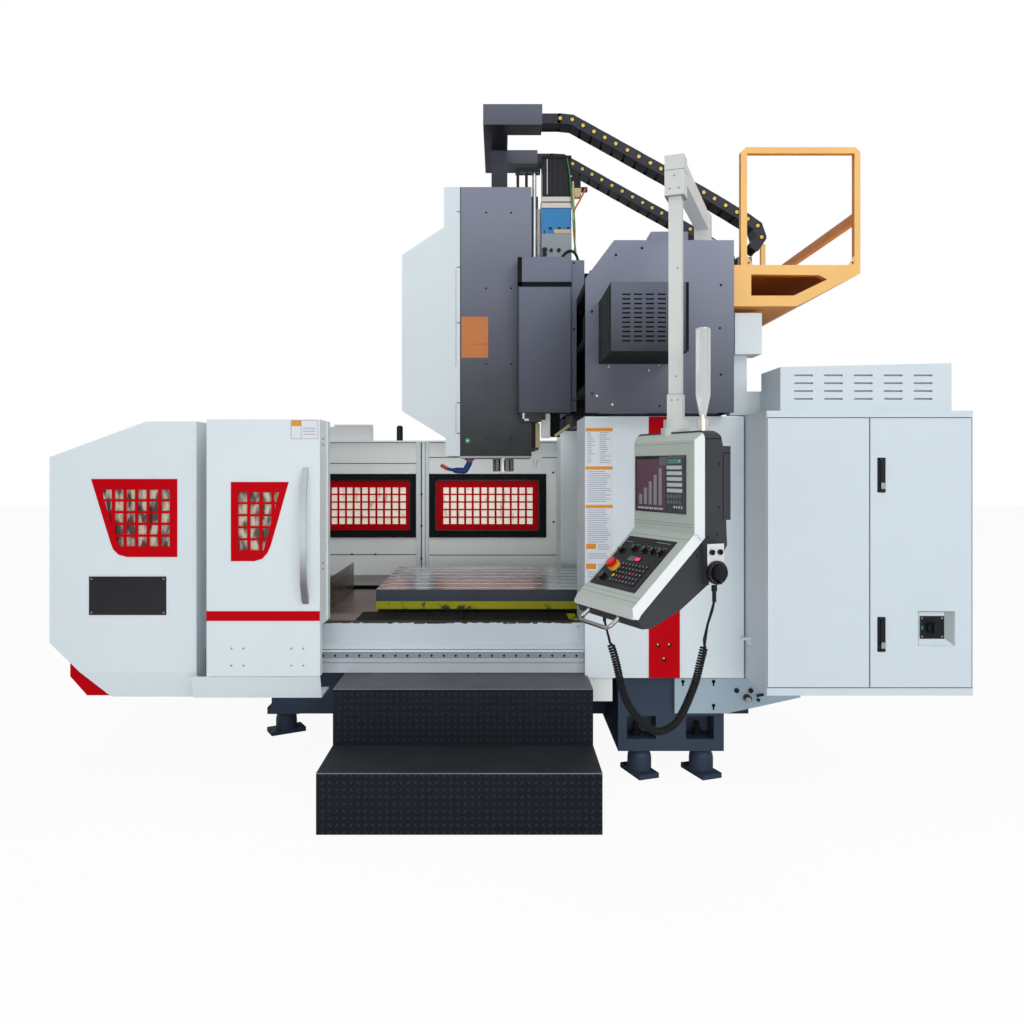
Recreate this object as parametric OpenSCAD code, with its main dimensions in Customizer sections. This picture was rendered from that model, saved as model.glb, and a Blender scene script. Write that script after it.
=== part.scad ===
/* [Table and travel] */
// Table length along X
table_l = 1600; // [1200:10:1800]
// Table width along Y
table_w = 1100; // [900:10:1100]
// Height of the table top above the floor
table_top = 875; // [865:1:880]
// Pitch of the T-slots
slot_pitch = 150; // [110:5:170]
// Width of a T-slot at the top
slot_w = 18; // [14:1:22]

/* [Spindle] */
// Radius of the spindle nose
nose_r = 64; // [50:1:75]
// Largest radius of the tool taper
taper_r = 22.2; // [15:0.1:35]

/* [Enclosure] */
// Thickness of the sheet panels
sheet_t = 8; // [4:1:12]
// Height of the guard panels
guard_top = 1770; // [1700:5:1800]
// Width of the door leaf
door_w = 537; // [450:1:560]

/* [Steps] */
// Width of the steps
step_w = 1207; // [900:1:1210]
// Rise of each step
step_rise = 260; // [200:1:262]

/* [Pendant] */
// Width of the operator panel
pendant_w = 449; // [400:1:460]
// Turn of the operator panel about its tube
pendant_turn = -66; // [-75:1:0]

/* [Energy chain] */
// Height of a chain link
link_h = 60; // [50:1:70]
// Width of the chain
chain_w = 128; // [90:2:140]

/* [Hidden] */
$fn = 48;
shift_x = 12;
shift_y = 533.3;
rail_gap = 0.6;
table_x0 = -684;
table_x1 = table_x0 + table_l;
half_w = table_w / 2;
rail_z0 = 640;
guide_y = 350;
cover_len = 555;
cover_step = (table_x0 + 2150 - cover_len) / 3;
beam_x = 480;
beam_rail_z = [1950, 2480];
spindle_x = 20;
tube_x = 696;
tube_y = -1850;
arm_base = [984, -1106];
half_p = pendant_w / 2;
panel_shift = 18;
face_y = -75;
fold_z = 1300;
lip = [-344, 1045];
key_tilt = -atan2(face_y - lip[0], fold_z - lip[1]);
door_x0 = -1390;
door_x1 = door_x0 + door_w;
guard_y = -1120;
back_y = 1105;
cab = [1212, 2153];
cord_path = [
  [751, -2085, 891], [737, -2078, 825], [723, -2070, 760], [701, -2062, 694],
  [676, -2053, 633], [647, -2042, 587], [597, -2025, 557], [552, -2008, 572],
  [511, -1995, 611], [477, -1983, 667], [458, -1970, 734], [445, -1960, 797],
  [433, -1950, 844], [424, -1944, 870]
];
chain_line = [
  [238, 3517], [395, 3517], [640, 3381], [900, 3236], [1169, 3088],
  [1398, 2950], [1453, 2911], [1477, 2850], [1440, 2793], [1392, 2764]
];

module placed() {
  translate([shift_x, shift_y, 0])
    children();
}

module block(x, y, z) {
  translate([x[0], y[0], z[0]])
    cube([x[1] - x[0], y[1] - y[0], z[1] - z[0]]);
}

module slab_xz(points, y) {
  translate([0, y[1], 0])
    rotate([90, 0, 0])
      linear_extrude(y[1] - y[0])
        polygon(points);
}

module slab_yz(points, x) {
  translate([x[0], 0, 0])
    rotate([90, 0, 90])
      linear_extrude(x[1] - x[0])
        polygon(points);
}

module rod_x(y, z, x, r) {
  translate([x[0], y, z])
    rotate([0, 90, 0])
      cylinder(h = x[1] - x[0], r = r);
}

module rod_y(x, z, y, r) {
  translate([x, y[1], z])
    rotate([90, 0, 0])
      cylinder(h = y[1] - y[0], r = r);
}

module rod_z(x, y, z, r) {
  translate([x, y, z[0]])
    cylinder(h = z[1] - z[0], r = r);
}

module both_y() {
  children();
  mirror([0, 1, 0])
    children();
}

module hole_grid(first, count, pitch, size, y) {
  for (i = [0:count[0] - 1])
    for (k = [0:count[1] - 1])
      block([first[0] + i * pitch[0], first[0] + i * pitch[0] + size[0]], y,
            [first[1] + k * pitch[1], first[1] + k * pitch[1] + size[1]]);
}

module bed() placed() color("#2d333c") {
  difference() {
    union() {
      block([-1287, 1400], [-450, 450], [161, 600]);
      block([-1330, -1286], [-450, 450], [500, 600]);
      both_y()
        block([-1330, 1400], [-guide_y - 60, -guide_y + 60], [600, rail_z0]);
      block([591, 1120], [-978, 978], [129, 507]);
      both_y()
        block([-1345, -1160], [-330, -170], [123, 161.5]);
    }
    for (x = [[635, 780], [930, 1070]])
      both_y()
        block(x, [-979, -850], [189, 304]);
    block([-1331, 1401], [-270, 270], [520, 601]);
  }
}

module one_foot(x, y, top, turn) {
  translate([x, y, 0]) {
    rotate([0, 0, turn])
      translate([-55, -100, 0])
        cube([110, 200, 25]);
    translate([0, 0, 24])
      cylinder(h = top - 72, r = 60);
    intersection() {
      translate([0, 0, top - 48])
        sphere(r = 60);
      cylinder(h = top, r = 59);
    }
  }
}

module levelling_feet() placed() color("#20252b") {
  for (x = [707, 1020]) {
    one_foot(x, -915, 129, 20);
    one_foot(x, 915, 129, 20);
  }
  one_foot(-1254, -250, 123, -60);
  one_foot(-1254, 250, 123, -60);
  one_foot(-350, -360, 161, 0);
  one_foot(-350, 360, 161, 0);
  one_foot(1060, -360, 129, 0);
  one_foot(1060, 360, 129, 0);
}

module bed_ways() placed() color("#b9bec2") {
  both_y()
    block([-1320, 1390], [-guide_y - 22, -guide_y + 22], [rail_z0, rail_z0 + 40]);
  rod_x(0, 600, [-1260, 1340], 25);
  block([-1320, -1240], [-90, 90], [520, 668]);
  block([1310, 1395], [-90, 90], [520, 668]);
}

module columns() placed() color("#2d333c") {
  both_y()
    difference() {
      block([560, 1100], [-1000, -640], [507, 1812]);
      block([640, 1020], [-930, -700], [506, 1813]);
    }
}

module crossbeam() placed() color("#33383f") {
  difference() {
    slab_xz([[beam_x, 1812], [1060, 1812], [1060, 2560], [620, 2560],
             [beam_x, 2520]], [-1125, 1125]);
    block([560, 980], [-1126, 1126], [1890, 2470]);
  }
}

module beam_ways() placed() color("#b9bec2") {
  for (z = beam_rail_z)
    block([beam_x - 44, beam_x], [-1110, 1110], [z - 22, z + 22]);
  rod_y(455, 2215, [-1130, 1100], 20);
  for (y = [[-1118, -1078], [1060, 1110]])
    block([405, beam_x], y, [2155, 2275]);
  block([410, 700], [-1166, -1125], [2110, 2320]);
  block([500, 700], [-1345, -1165], [2110, 2320]);
  rod_y(600, 2215, [-1560, -1344], 85);
}

module beam_end_covers() placed() color("#5b5f6b") {
  outline = [[407, 1809], [1114, 1809], [1114, 2630], [543, 2630], [407, 2449]];
  difference() {
    both_y() {
      difference() {
        slab_xz(outline, [-1180, -606]);
        block([400, 1102], [-1168, -605], [1800, 2618]);
        block([400, 560], [-1138, -605], [1800, 2640]);
      }
      block([990, 1050], [-1169, -1125], [1900, 2440]);
      block([620, 900], [-1169, -1125], [1825, 1885]);
    }
    block([495, 705], [-1181, -1167], [2105, 2325]);
  }
}

module beam_motor_cover() placed() color("#3b3f49") {
  difference() {
    block([470, 799], [-1621, -1180], [2040, 2333]);
    block([478, 791], [-1613, -1179], [2048, 2325]);
    hole_grid([517, 2080], [5, 11], [50, 19.7], [35, 6.5], [-1622, -1612]);
  }
}

module column_guards() placed() color("#e4e8ec") {
  both_y()
    difference() {
      block([420, 1205], [-1030, -600], [508, 1800]);
      block([432, 1193], [-1018, -612], [500, 1805]);
    }
}

module stripe_panel() placed() color("#c8101e") {
  difference() {
    block([735, 888], [-1034, -1030], [508, 1798]);
    for (p = [[781, 670], [836, 670], [811, 600]])
      rod_y(p[0], p[1], [-1035, -1029], 11);
  }
}

left_outline = [
  [-2177, 700], [-1896, 429], [-1467, 429], [-1467, guard_top],
  [-1709, guard_top], [-2177, 1598]
];
left_window = [
  [-1975, 1492], [-1559, 1492], [-1559, 1115], [-1800, 1115], [-1842, 1126],
  [-1868, 1152], [-1880, 1182]
];

module left_holes(y) {
  intersection() {
    hole_grid([-1916, 1167], [6, 5], [56, 57], [41, 45], y);
    slab_xz([[-1940, 1480], [-1570, 1480], [-1570, 1130], [-1836, 1150]], y);
  }
}

module left_guard() placed() color("#e4e8ec") {
  t = sheet_t;
  difference() {
    intersection() {
      slab_xz(left_outline, [guard_y, back_y + 12]);
      slab_yz([[guard_y, 557], [guard_y, 1800], [back_y + 12, 1800],
               [back_y + 12, 400], [-1070, 400]], [-2200, -1400]);
    }
    intersection() {
      slab_xz([[-2177 + t, 704], [-1892, 429 + t], [-1467 - t, 429 + t],
               [-1467 - t, guard_top - t], [-1708, guard_top - t],
               [-2177 + t, 1592]], [guard_y + t, back_y]);
      slab_yz([[guard_y + t, 559], [guard_y + t, 1800], [back_y, 1800],
               [back_y, 400], [-1061, 400]], [-2200, -1400]);
    }
    block([-1480, -1460], [-930, 1095], [480, 1700]);
    slab_xz([[-1930, 1470], [-1565, 1470], [-1565, 1120], [-1800, 1120],
             [-1850, 1145]], [guard_y - 1, guard_y + t + 1]);
  }
  slab_yz([[-1200, 556], [-1192, 556], [-1146, 452], [-984, 452],
           [-984, 444], [-1152, 444]], [-1467, door_x1]);
}

back_panels = [[-1420, -668], [-487, 297]];
back_panel_z = [1073, 1458];

module back_holes(y) {
  for (x = [-425, -1375])
    hole_grid([x, 1125], [12, 5], [57, 57], [42, 46], y);
}

module guard_windows() placed() color("#c8101e") {
  difference() {
    slab_xz(left_window, [guard_y - 3, guard_y]);
    left_holes([guard_y - 4, guard_y + 1]);
  }
  difference() {
    for (x = back_panels)
      block(x, [back_y - 3, back_y], back_panel_z);
    back_holes([back_y - 4, back_y + 1]);
  }
  slab_xz([[-2108, 633.4], [-2108, 523], [-2025, 430], [-1897, 429.9]],
          [-1060, -600]);
}

module window_frames() placed() color("#14171a") {
  difference() {
    union() {
      block([-1457, -630], [back_y - 12, back_y], [1025, 1501]);
      block([-530, 346], [back_y - 12, back_y], [1025, 1501]);
    }
    for (x = back_panels)
      block(x, [back_y - 13, back_y + 1], back_panel_z);
  }
}

module name_plate() placed() color("#1a1a1e") {
  difference() {
    block([-1985, -1612], [guard_y - 3, guard_y], [835, 1021]);
    for (x = [-1973, -1624])
      for (z = [847, 1009])
        rod_y(x, z, [guard_y - 4, guard_y + 1], 4);
  }
}

module back_guard() placed() color("#e4e8ec") {
  difference() {
    block([-1466, 1750], [back_y, back_y + 12], [429, 1750]);
    for (x = back_panels)
      block([x[0] + 18, x[1] - 18], [back_y - 1, back_y + 13],
            [back_panel_z[0] + 18, back_panel_z[1] - 18]);
  }
  block([-1466, 1205], [back_y - 25, back_y], [1738, 1750]);
  block([-626, -532], [back_y - 12, back_y], [760, 1738]);
  block([529, 603], [back_y - 40, back_y], [760, 1738]);
  block([-1458, 560], [451, back_y], [440, 448]);
}

module front_sill() placed() color("#dfe4e8") {
  slab_yz([[-981, 522], [-981, 640], [-941, 660], [-941, 766], [-885, 766],
           [-885, 758], [-933, 758], [-933, 654], [-973, 634], [-973, 530],
           [-451, 530], [-451, 522]], [-1458, 420]);
  block([420, 559], [-1001, -975], [385, 508]);
}

module door_rail() placed() color("#8f969c") {
  difference() {
    block([-1458, 415], [-1001, -981], [598, 624]);
    for (i = [0:30])
      rod_y(-1420 + i * 60, 611, [-1002, -980], 5);
  }
}

module chip_tray() placed() color("#b8b420") {
  block([-1450, 410], [-933, -553], [735, 743]);
  block([-1450, 410], [-561, -553], [560, 735]);
  block([-1450, 410], [553, 561], [560, 735]);
  block([-1450, 410], [553, back_y], [735, 743]);
}

module tray_mat() placed() color("#15191c") {
  difference() {
    block([-752, 360], [-880, -565], [743, 755]);
    for (i = [1:5])
      block([-752 + i * 185, -749 + i * 185], [-879, -566], [751, 756]);
  }
}

module cabinet_body() placed() color("#e4e8ec") {
  x0 = cab[0];
  x1 = cab[1];
  difference() {
    block([x0, x1], [-1354, -950], [509, 1806]);
    block([x0 + 12, x1 - 12], [-1338, -962], [521, 1794]);
    block([x0 + 4, x1 - 4], [-1355, -1336], [546, 1773]);
    for (x = [x0 + 12, x1 - 12])
      rod_z(x, -1349, [533, 1786], 3.55);
  }
  block([x0 + 60, x1 - 60], [-975, -961], [600, 1720]);
  for (i = [0:4])
    block([x0 + 120 + i * 145, x0 + 220 + i * 145], [-1090, -974], [1380, 1620]);
  block([x0 + 120, x1 - 140], [-1010, -974], [1180, 1230]);
  block([x0 + 120, x1 - 140], [-1060, -974], [820, 1060]);
}

module cabinet_vent_box() placed() color("#e4e8ec") {
  difference() {
    slab_xz([[1286, 1806], [2071, 1806], [2071, 2026], [1286, 2008]],
            [-1325, -1045]);
    slab_xz([[1294, 1805], [2063, 1805], [2063, 2018], [1294, 2000]],
            [-1317, -1053]);
    hole_grid([1350, 1858], [5, 4], [137, 36], [85, 8], [-1326, -1316]);
  }
}

module steps() placed() color("#24282d") {
  x0 = -775;
  x1 = x0 + step_w;
  t = 6;
  z1 = step_rise;
  z2 = 2 * step_rise;
  difference() {
    union() {
      block([x0, x1], [-1638, -1277], [0, z1]);
      block([x0, x1], [-1283, -940], [0, z2]);
    }
    block([418, x1 + 1], [-1032, -939], [-1, z2 + 1]);
    block([x0 + t, x1 - t], [-1632, -1270], [-1, z1 - t]);
    difference() {
      block([x0 + t, x1 - t], [-1277, -939], [-1, z2 - t]);
      block([412, x1], [-1038, -938], [-2, z2]);
    }
  }
}

module platform() placed() color("#e0a030") {
  x0 = 1150;
  x1 = 1729;
  y0 = -1150;
  y1 = 310;
  for (y = [[y0, y0 + 42], [y1 - 42, y1]]) {
    difference() {
      slab_xz([[x0, 2321], [1424, 2321], [x1, 2478], [x1, 2519], [x0, 2519]], y);
      slab_xz([[x0 + 55, 2372], [1410, 2372], [1570, 2450], [1530, 2470],
               [x0 + 55, 2474]], [y[0] - 1, y[1] + 1]);
    }
  }
  block([1114, x0 + 4], [y0, y1], [2321, 2519]);
  block([1060, 1115], [-590, y1], [2340, 2500]);
  block([x0, x1], [y0 + 40, y1 - 40], [2511, 2519]);
  slab_xz([[x0, 2321], [1424, 2321], [x1, 2478], [x1, 2484], [1424, 2327],
           [x0, 2327]], [y0 + 40, y1 - 40]);
  difference() {
    slab_xz([[x0 + 5, 2519], [x0 + 5, 3060], [x0 + 30, 3084], [x1 - 25, 3084],
             [x1, 3060], [x1, 2519]], [y0, y0 + 30]);
    slab_xz([[x0 + 35, 2518], [x0 + 35, 3054], [x1 - 29, 3054],
             [x1 - 29, 2518]], [y0 - 1, y0 + 31]);
  }
  block([x1 - 29, x1], [y1 - 30, y1], [2518, 3002]);
  block([x1 - 29, x1], [y0 + 29, y1 - 29], [2728, 2772]);
}

module rear_guard() placed() color("#dde2e6") {
  difference() {
    block([1206, 1762], [-950, back_y], [430, 1750]);
    block([1205, 1750], [-938, back_y - 12], [429, 1751]);
  }
  block([1206, 1225], [-949, -939], [1740, 1810]);
  block([1140, 1225], [-1010, -945], [1807, 2105]);
  block([1224, 1320], [-1010, -945], [1807, 1925]);
  block([1144, 1275], [-1090, -940], [2100, 2300]);
}

module rear_pan() placed() color("#cfd9e2") {
  slab_xz([[868, 500], [868, 326], [1130, 326], [1294, 361], [1493, 405],
           [1493, 500]], [-1006, -978]);
  slab_xz([[1121, 326], [1130, 326], [1294, 361], [1493, 405], [1493, 413],
           [1294, 369], [1130, 334], [1121, 334]], [-979, -452]);
  for (x = [1175, 1245])
    rod_y(x, 440, [-1014, -1005], 12);
  rod_y(1225, 405, [-1040, -1005], 18);
}

module cabinet_hinge_pins(x) {
  rod_z(x, -1349, [534, 547], 3.5);
  rod_z(x, -1349, [1772, 1785], 3.5);
}

module cabinet_door_left() placed() color("#e4e8ec") {
  block([cab[0] + 7, 1682], [-1354, -1338], [547, 1772]);
  cabinet_hinge_pins(cab[0] + 12);
}

module cabinet_door_right() placed() color("#e4e8ec") {
  difference() {
    block([1686, cab[1] - 7], [-1354, -1338], [547, 1772]);
    block([1903, 2071], [-1355, -1348], [735, 894]);
    for (z = [1512, 787]) {
      block([1726, 1754], [-1355, -1346], [z - 80, z + 80]);
      rod_y(1740, z - 40, [-1347, -1337], 8.05);
    }
  }
  translate([1912, -1352, 767])
    cube([111, 4.5, 104]);
  cabinet_hinge_pins(cab[1] - 12);
}

module latch(z) {
  block([1730, 1750], [-1364, -1354.5], [z - 70, z + 70]);
  rod_y(1740, z - 40, [-1354.5, -1339], 8);
}

module cabinet_latch_upper() placed() color("#14171a") {
  latch(1512);
}

module cabinet_latch_lower() placed() color("#14171a") {
  latch(787);
}

module switch_knob() placed() color("#14171a") {
  rod_y(1966, 819, [-1372, -1352.5], 26);
  block([1958, 1974], [-1390, -1371], [795, 843]);
}

module table() placed() color("#3a4450") {
  z1 = table_top;
  difference() {
    union() {
      block([table_x0, table_x1], [-half_w, half_w], [z1 - 65, z1]);
      block([table_x0 + 90, table_x1 - 90], [-420, 420], [735, z1 - 65]);
      block([table_x0, table_x0 + 91], [-470, 470], [700, z1 - 65]);
      for (x = [table_x0 + 280, -14, table_x1 - 540])
        both_y()
          block([x, x + 200], [-guide_y - 55, -guide_y + 55], [650, 736]);
      block([60, 200], [-60, 60], [660, 736]);
      block([60, 200], [-60, 60], [560, 661]);
    }
    for (i = [-3:3]) {
      y = i * slot_pitch;
      block([table_x0 - 1, table_x1 + 1], [y - slot_w / 2, y + slot_w / 2],
            [z1 - 22, z1 + 1]);
      block([table_x0 - 1, table_x1 + 1], [y - slot_w, y + slot_w],
            [z1 - 38, z1 - 20]);
    }
    both_y()
      block([table_x0, table_x1], [-guide_y - 22.6, -guide_y + 22.6],
            [640, rail_z0 + 41]);
    rod_x(0, 600, [50, 210], 25.5);
  }
}

module table_apron() placed() color("#b8b420") {
  both_y()
    block([table_x0, table_x1], [-half_w, -half_w + 10], [768, table_top - 65]);
}

module way_cover(k) {
  grow = (3 - k) * 6;
  x0 = -2150 + k * cover_step;
  w = 478 + grow;
  top = 726 + grow;
  difference() {
    block([x0, x0 + cover_len], [-w, w], [640, top]);
    block([x0 - 1, x0 + cover_len + 1], [-w + 4, w - 4], [639, top - 4]);
    slab_xz([[x0 - 1, 639], [x0 + 62, 639], [x0 - 1, 702]], [-w - 1, w + 1]);
  }
}

module way_cover_1() placed() color("#8d8072") {
  way_cover(0);
  block([-2169, -2149], [-496, 496], [706, 744]);
}

module way_cover_2() placed() color("#8d8072") {
  way_cover(1);
}

module way_cover_3() placed() color("#8d8072") {
  way_cover(2);
  x1 = -2150 + 2 * cover_step + cover_len;
  block([x1 - 4, x1], [-484, 484], [728, 907]);
}

module way_cover_4() placed() color("#8d8072") {
  way_cover(3);
}

module saddle() placed() color("#4b505b") {
  difference() {
    union() {
      block([245, 400], [-400, 400], [1870, 2720]);
      both_y()
        block([102, 400], [-430, -322], [1856, 2739]);
      for (z = beam_rail_z)
        for (y = [-380, 200])
          block([399, 470], [y, y + 180], [z - 60, z + 60]);
      block([399, 478], [-60, 60], [2170, 2260]);
      for (z = [1900, 2480])
        both_y()
          block([200, 246], [-235, -165], [z, z + 160]);
      block([300, 1420], [-50, 50], [2650, 2735]);
      block([1340, 1420], [-450, 290], [2690, 2735]);
    }
    for (z = beam_rail_z)
      block([beam_x - 44 - rail_gap, 480], [-400, 400],
            [z - 22 - rail_gap, z + 22 + rail_gap]);
    rod_y(455, 2215, [-61, 61], 20.05);
    both_y()
      block([199, 226 + rail_gap], [-217.5 - rail_gap, -182.5 + rail_gap],
            [1860, 2730]);
  }
}

module z_drive() placed() color("#3f6fa8") {
  block([242, 415], [-318, -118], [2739, 2903]);
  block([242, 415], [-303, -133], [2903, 3056]);
  block([242, 419], [-308, -128], [3056, 3120]);
  block([247, 412], [-300, -136], [3120, 3355]);
  difference() {
    rod_z(200, -286, [2450, 2750], 15);
    rod_z(200, -286, [2449, 2751], 12.08);
  }
  difference() {
    block([203, 245], [-312, -262], [2455, 2475]);
    rod_z(200, -286, [2454, 2476], 12.08);
  }
}

module ram() placed() color("#4b505b") {
  difference() {
    block([-232, 183], [-309, 309], [1603, 3176]);
    rod_z(spindle_x, 0, [1602, 1905], 60.05);
  }
  both_y()
    block([183, 226], [-217.5, -182.5], [1650, 3150]);
  rod_z(200, -286, [2480, 3280], 12);
  block([90, 234], [-309, -255], [3262, 3290]);
  for (x = [[96, 112], [146, 162]])
    block(x, [-300, -264], [3176, 3263]);
}

module ram_cover() placed() color("#e8ecef") {
  outline = [[-325, 3176], [-325, 2944], [-569, 2781], [-569, 1876],
             [-316, 1719], [-316, 1615], [-232, 1615], [-232, 3176]];
  difference() {
    slab_xz(outline, [-309, 309]);
    slab_xz([[-317, 3168], [-317, 2940], [-561, 2777], [-561, 1880],
             [-308, 1723], [-308, 1623], [-231, 1623], [-231, 3168]],
            [-301, 301]);
  }
}

module chain_brackets() placed() color("#565c66") {
  block([-95, 238], [-464, -312], [3475, 3590]);
  block([-95, 45], [-312, 309], [3475, 3590]);
  block([-95, 238], [135, 309], [3475, 3560]);
  block([-52, 45], [-79, 30], [3176, 3475]);
}

function turn90(v) = [-v[1], v[0]] / norm(v);
function line_normal(p, i) =
  turn90(p[min(i + 1, len(p) - 1)] - p[max(i - 1, 0)]);

module chain_run(y) {
  last = len(chain_line) - 1;
  upper = [for (i = [0:last]) chain_line[i] + line_normal(chain_line, i) * link_h / 2];
  lower = [for (i = [last:-1:0]) chain_line[i] - line_normal(chain_line, i) * link_h / 2];
  slab_xz(concat(upper, lower), y);
}

module energy_chain_near() placed() color("#1d2024") {
  chain_run([-450, -450 + chain_w]);
}

module energy_chain_far() placed() color("#1d2024") {
  chain_run([150, 150 + chain_w]);
}

module spindle_nose() placed() color("#b9bec2") {
  difference() {
    union() {
      rod_z(spindle_x, 0, [1523, 1600], nose_r);
      rod_z(spindle_x, 0, [1599, 1900], 60);
    }
    translate([spindle_x, 0, 1522])
      cylinder(h = 70, r1 = taper_r, r2 = taper_r - 10);
    rod_z(spindle_x, 0, [1591, 1901], 9);
  }
  for (a = [0, 180])
    translate([spindle_x, 0, 1517])
      rotate([0, 0, a])
        translate([34, -8, 0])
          cube([20, 16, 7]);
}

module hose_run(points, r) {
  for (i = [0:len(points) - 2])
    hull() {
      translate(points[i])
        sphere(r = r, $fn = 16);
      translate(points[i + 1])
        sphere(r = r, $fn = 16);
    }
}

module coolant_hose() placed() color("#2a63b8") {
  block([-205, -150], [-290, -240], [1590, 1603]);
  hose_run([[-178, -262, 1586], [-178, -262, 1576], [-205, -262, 1529],
            [-262, -262, 1531]], 16);
  hose_run([[-262, -262, 1531], [-307, -262, 1540], [-340, -262, 1558]], 9.5);
}

module door_leaf() placed() color("#e4e8ec") {
  t = sheet_t;
  difference() {
    block([door_x0, door_x1], [-1200, -995], [558, 1775]);
    block([door_x0 + t, door_x1 - t], [-1192, -990], [557, 1767]);
    block([door_x0 - 1, door_x1 + 1], [-1150, -990], [557, 794]);
    slab_xz([[-1262, 1462], [-1025, 1462], [-1090, 1200], [-1150, 1120],
             [-1262, 1120]], [-1201, -1191]);
  }
  for (x = [-1285, -1006])
    block([x, x + 56], [-1193, -1003], [590, 650]);
}

module door_window() placed() color("#c8101e") {
  difference() {
    slab_xz([[-1274, 1479], [-1000, 1479], [-1085, 1180], [-1100, 1144],
             [-1126, 1115], [-1163, 1104], [-1274, 1104]], [-1203, -1200]);
    intersection() {
      hole_grid([-1239, 1156], [4, 5], [57, 57], [42, 46], [-1204, -1199]);
      slab_xz([[-1250, 1450], [-1040, 1450], [-1120, 1150], [-1250, 1150]],
              [-1205, -1198]);
    }
  }
  block([door_x0, door_x1], [-1203, -1200], [821, 867]);
}

module door_handle() placed() color("#cfd3d6") {
  slab_yz([[-1200, 900], [-1224, 918], [-1252, 990], [-1262, 1080],
           [-1262, 1370], [-1252, 1460], [-1224, 1530], [-1200, 1548],
           [-1200, 1512], [-1212, 1500], [-1236, 1440], [-1246, 1360],
           [-1246, 1090], [-1236, 1010], [-1212, 950], [-1200, 936]],
          [-934, -906]);
}

module pendant_arm() placed() color("#dcdcd6") {
  dx = tube_x - arm_base[0];
  dy = tube_y - arm_base[1];
  reach = norm([dx, dy]);
  rod_z(arm_base[0], arm_base[1], [2630, 2641], 60);
  translate([arm_base[0], arm_base[1], 0])
    rotate([0, 0, atan2(dy, dx)]) {
      translate([-37, -37, 2640])
        cube([74, 74, 132]);
      translate([0, -30, 2690])
        cube([reach, 60, 82]);
      translate([reach - 40, -38, 2613])
        cube([80, 76, 159]);
      translate([reach - 25, -25, 1800])
        cube([50, 50, 820]);
      translate([reach - 30, -30, 1736])
        cube([60, 60, 98]);
    }
}

module in_pendant() {
  translate([tube_x, tube_y, 0])
    rotate([0, 0, pendant_turn])
      children();
}

module in_head() {
  in_pendant()
    translate([panel_shift, 0, 0])
      children();
}

module both_x() {
  children();
  mirror([1, 0, 0])
    children();
}

module corner_cut(x, z, r) {
  translate([x - r, 0, z - r])
    difference() {
      translate([0, -260, 0])
        cube([r + 2, 400, r + 2]);
      rotate([90, 0, 0])
        cylinder(h = 601, r = r, center = true);
    }
}

module side_bevel(z) {
  translate([0, 0, z[0]])
    linear_extrude(height = z[1] - z[0])
      polygon([[half_p - 25.9, -1], [half_p + 2.7, -1], [half_p + 2.7, 31]]);
}

module on_keys() {
  in_head()
    translate([0, face_y, fold_z])
      rotate([key_tilt, 0, 0])
        children();
}

module pendant_front() placed() color("#ddddd6") {
  in_pendant() {
    intersection() {
      translate([0, 0, 1655])
        cylinder(h = 30, r = 58);
      translate([-60, -60, 1655])
        cube([120, 13, 30]);
    }
    translate([0, 0, 1684])
      cylinder(h = 18, r = 58);
    translate([0, 0, 1701])
      cylinder(h = 34, r = 48);
  }
  in_head()
    difference() {
      slab_yz([[face_y, 1649], [-47, 1677], [-47, 1288], [-325, 1024],
               [-332, 1008], [-352, 1008], lip, [face_y, fold_z]],
              [-half_p, half_p]);
      both_x()
        translate([0, face_y, 0])
          side_bevel([1292, 1700]);
      both_x()
        translate([0, face_y, fold_z])
          rotate([key_tilt, 0, 0])
            side_bevel([-420, -3]);
      both_x()
        corner_cut(half_p, 1677, 25);
      both_x()
        translate([0, face_y, fold_z])
          rotate([key_tilt, 0, 0])
            mirror([0, 0, 1])
              corner_cut(half_p, 402, 30);
    }
}

module pendant_back() placed() color("#1c1f22") {
  in_head()
    difference() {
      slab_yz([[-47, 1684], [10, 1684], [30, 1664], [39, 1627], [58, 1259],
               [-30, 1115], [-158, 1027], [-280, 973], [-318, 973],
               [-331, 1000], [-332, 1008], [-325, 1024], [-47, 1288]],
              [-half_p + 4, half_p - 4]);
      both_x()
        corner_cut(half_p - 4, 1684, 25);
    }
  in_head()
    translate([10 - half_p, 29, 1351])
      cube([2 * half_p - 20, 50, 276]);
}

module pendant_screen() placed() color("#2c3338") {
  in_head()
    translate([-188, face_y - 3, fold_z + 71])
      cube([339, 3, 222]);
}

module pendant_keypad() placed() color("#17191c") {
  on_keys() {
    translate([-177, -3, -306])
      cube([320, 3, 258]);
    for (i = [0:7])
      for (k = [0:4])
        translate([-68 + i * 22.6, -6.5, -281 + k * 21])
          cube([16, 4, 15]);
    translate([-10, -6.5, -169])
      cube([32, 4, 18]);
    for (x = [-73, -1, 53, 106])
      translate([x, -2.5, -110])
        rotate([90, 0, 0])
          cylinder(h = 15, r = 12);
    translate([-146, -2.5, -127])
      rotate([90, 0, 0])
        cylinder(h = 15, r = 12);
    translate([-122, -2.5, -266])
      rotate([90, 0, 0])
        cylinder(h = 17, r = 15);
    translate([-100, -2.5, -210])
      rotate([90, 0, 0])
        difference() {
          cylinder(h = 14, r = 25);
          translate([0, 0, 0.5])
            cylinder(h = 14, r = 12.08);
        }
  }
}

module pendant_handle() placed() color("#cfd3d6") {
  in_head() {
    for (x = [-97, 113])
      translate([x - 7, -351, 990])
        cube([14, 14, 18]);
    translate([8, -344, 999])
      rotate([36, 0, 0]) {
        for (x = [-105, 105])
          translate([x, 0, 0])
            rotate([90, 0, 0])
              cylinder(h = 61, r = 7);
        translate([-105, -61, 0])
          rotate([0, 90, 0])
            cylinder(h = 210, r = 7);
        for (x = [-105, 105])
          translate([x, -61, 0])
            sphere(r = 7.4);
      }
  }
}

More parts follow.
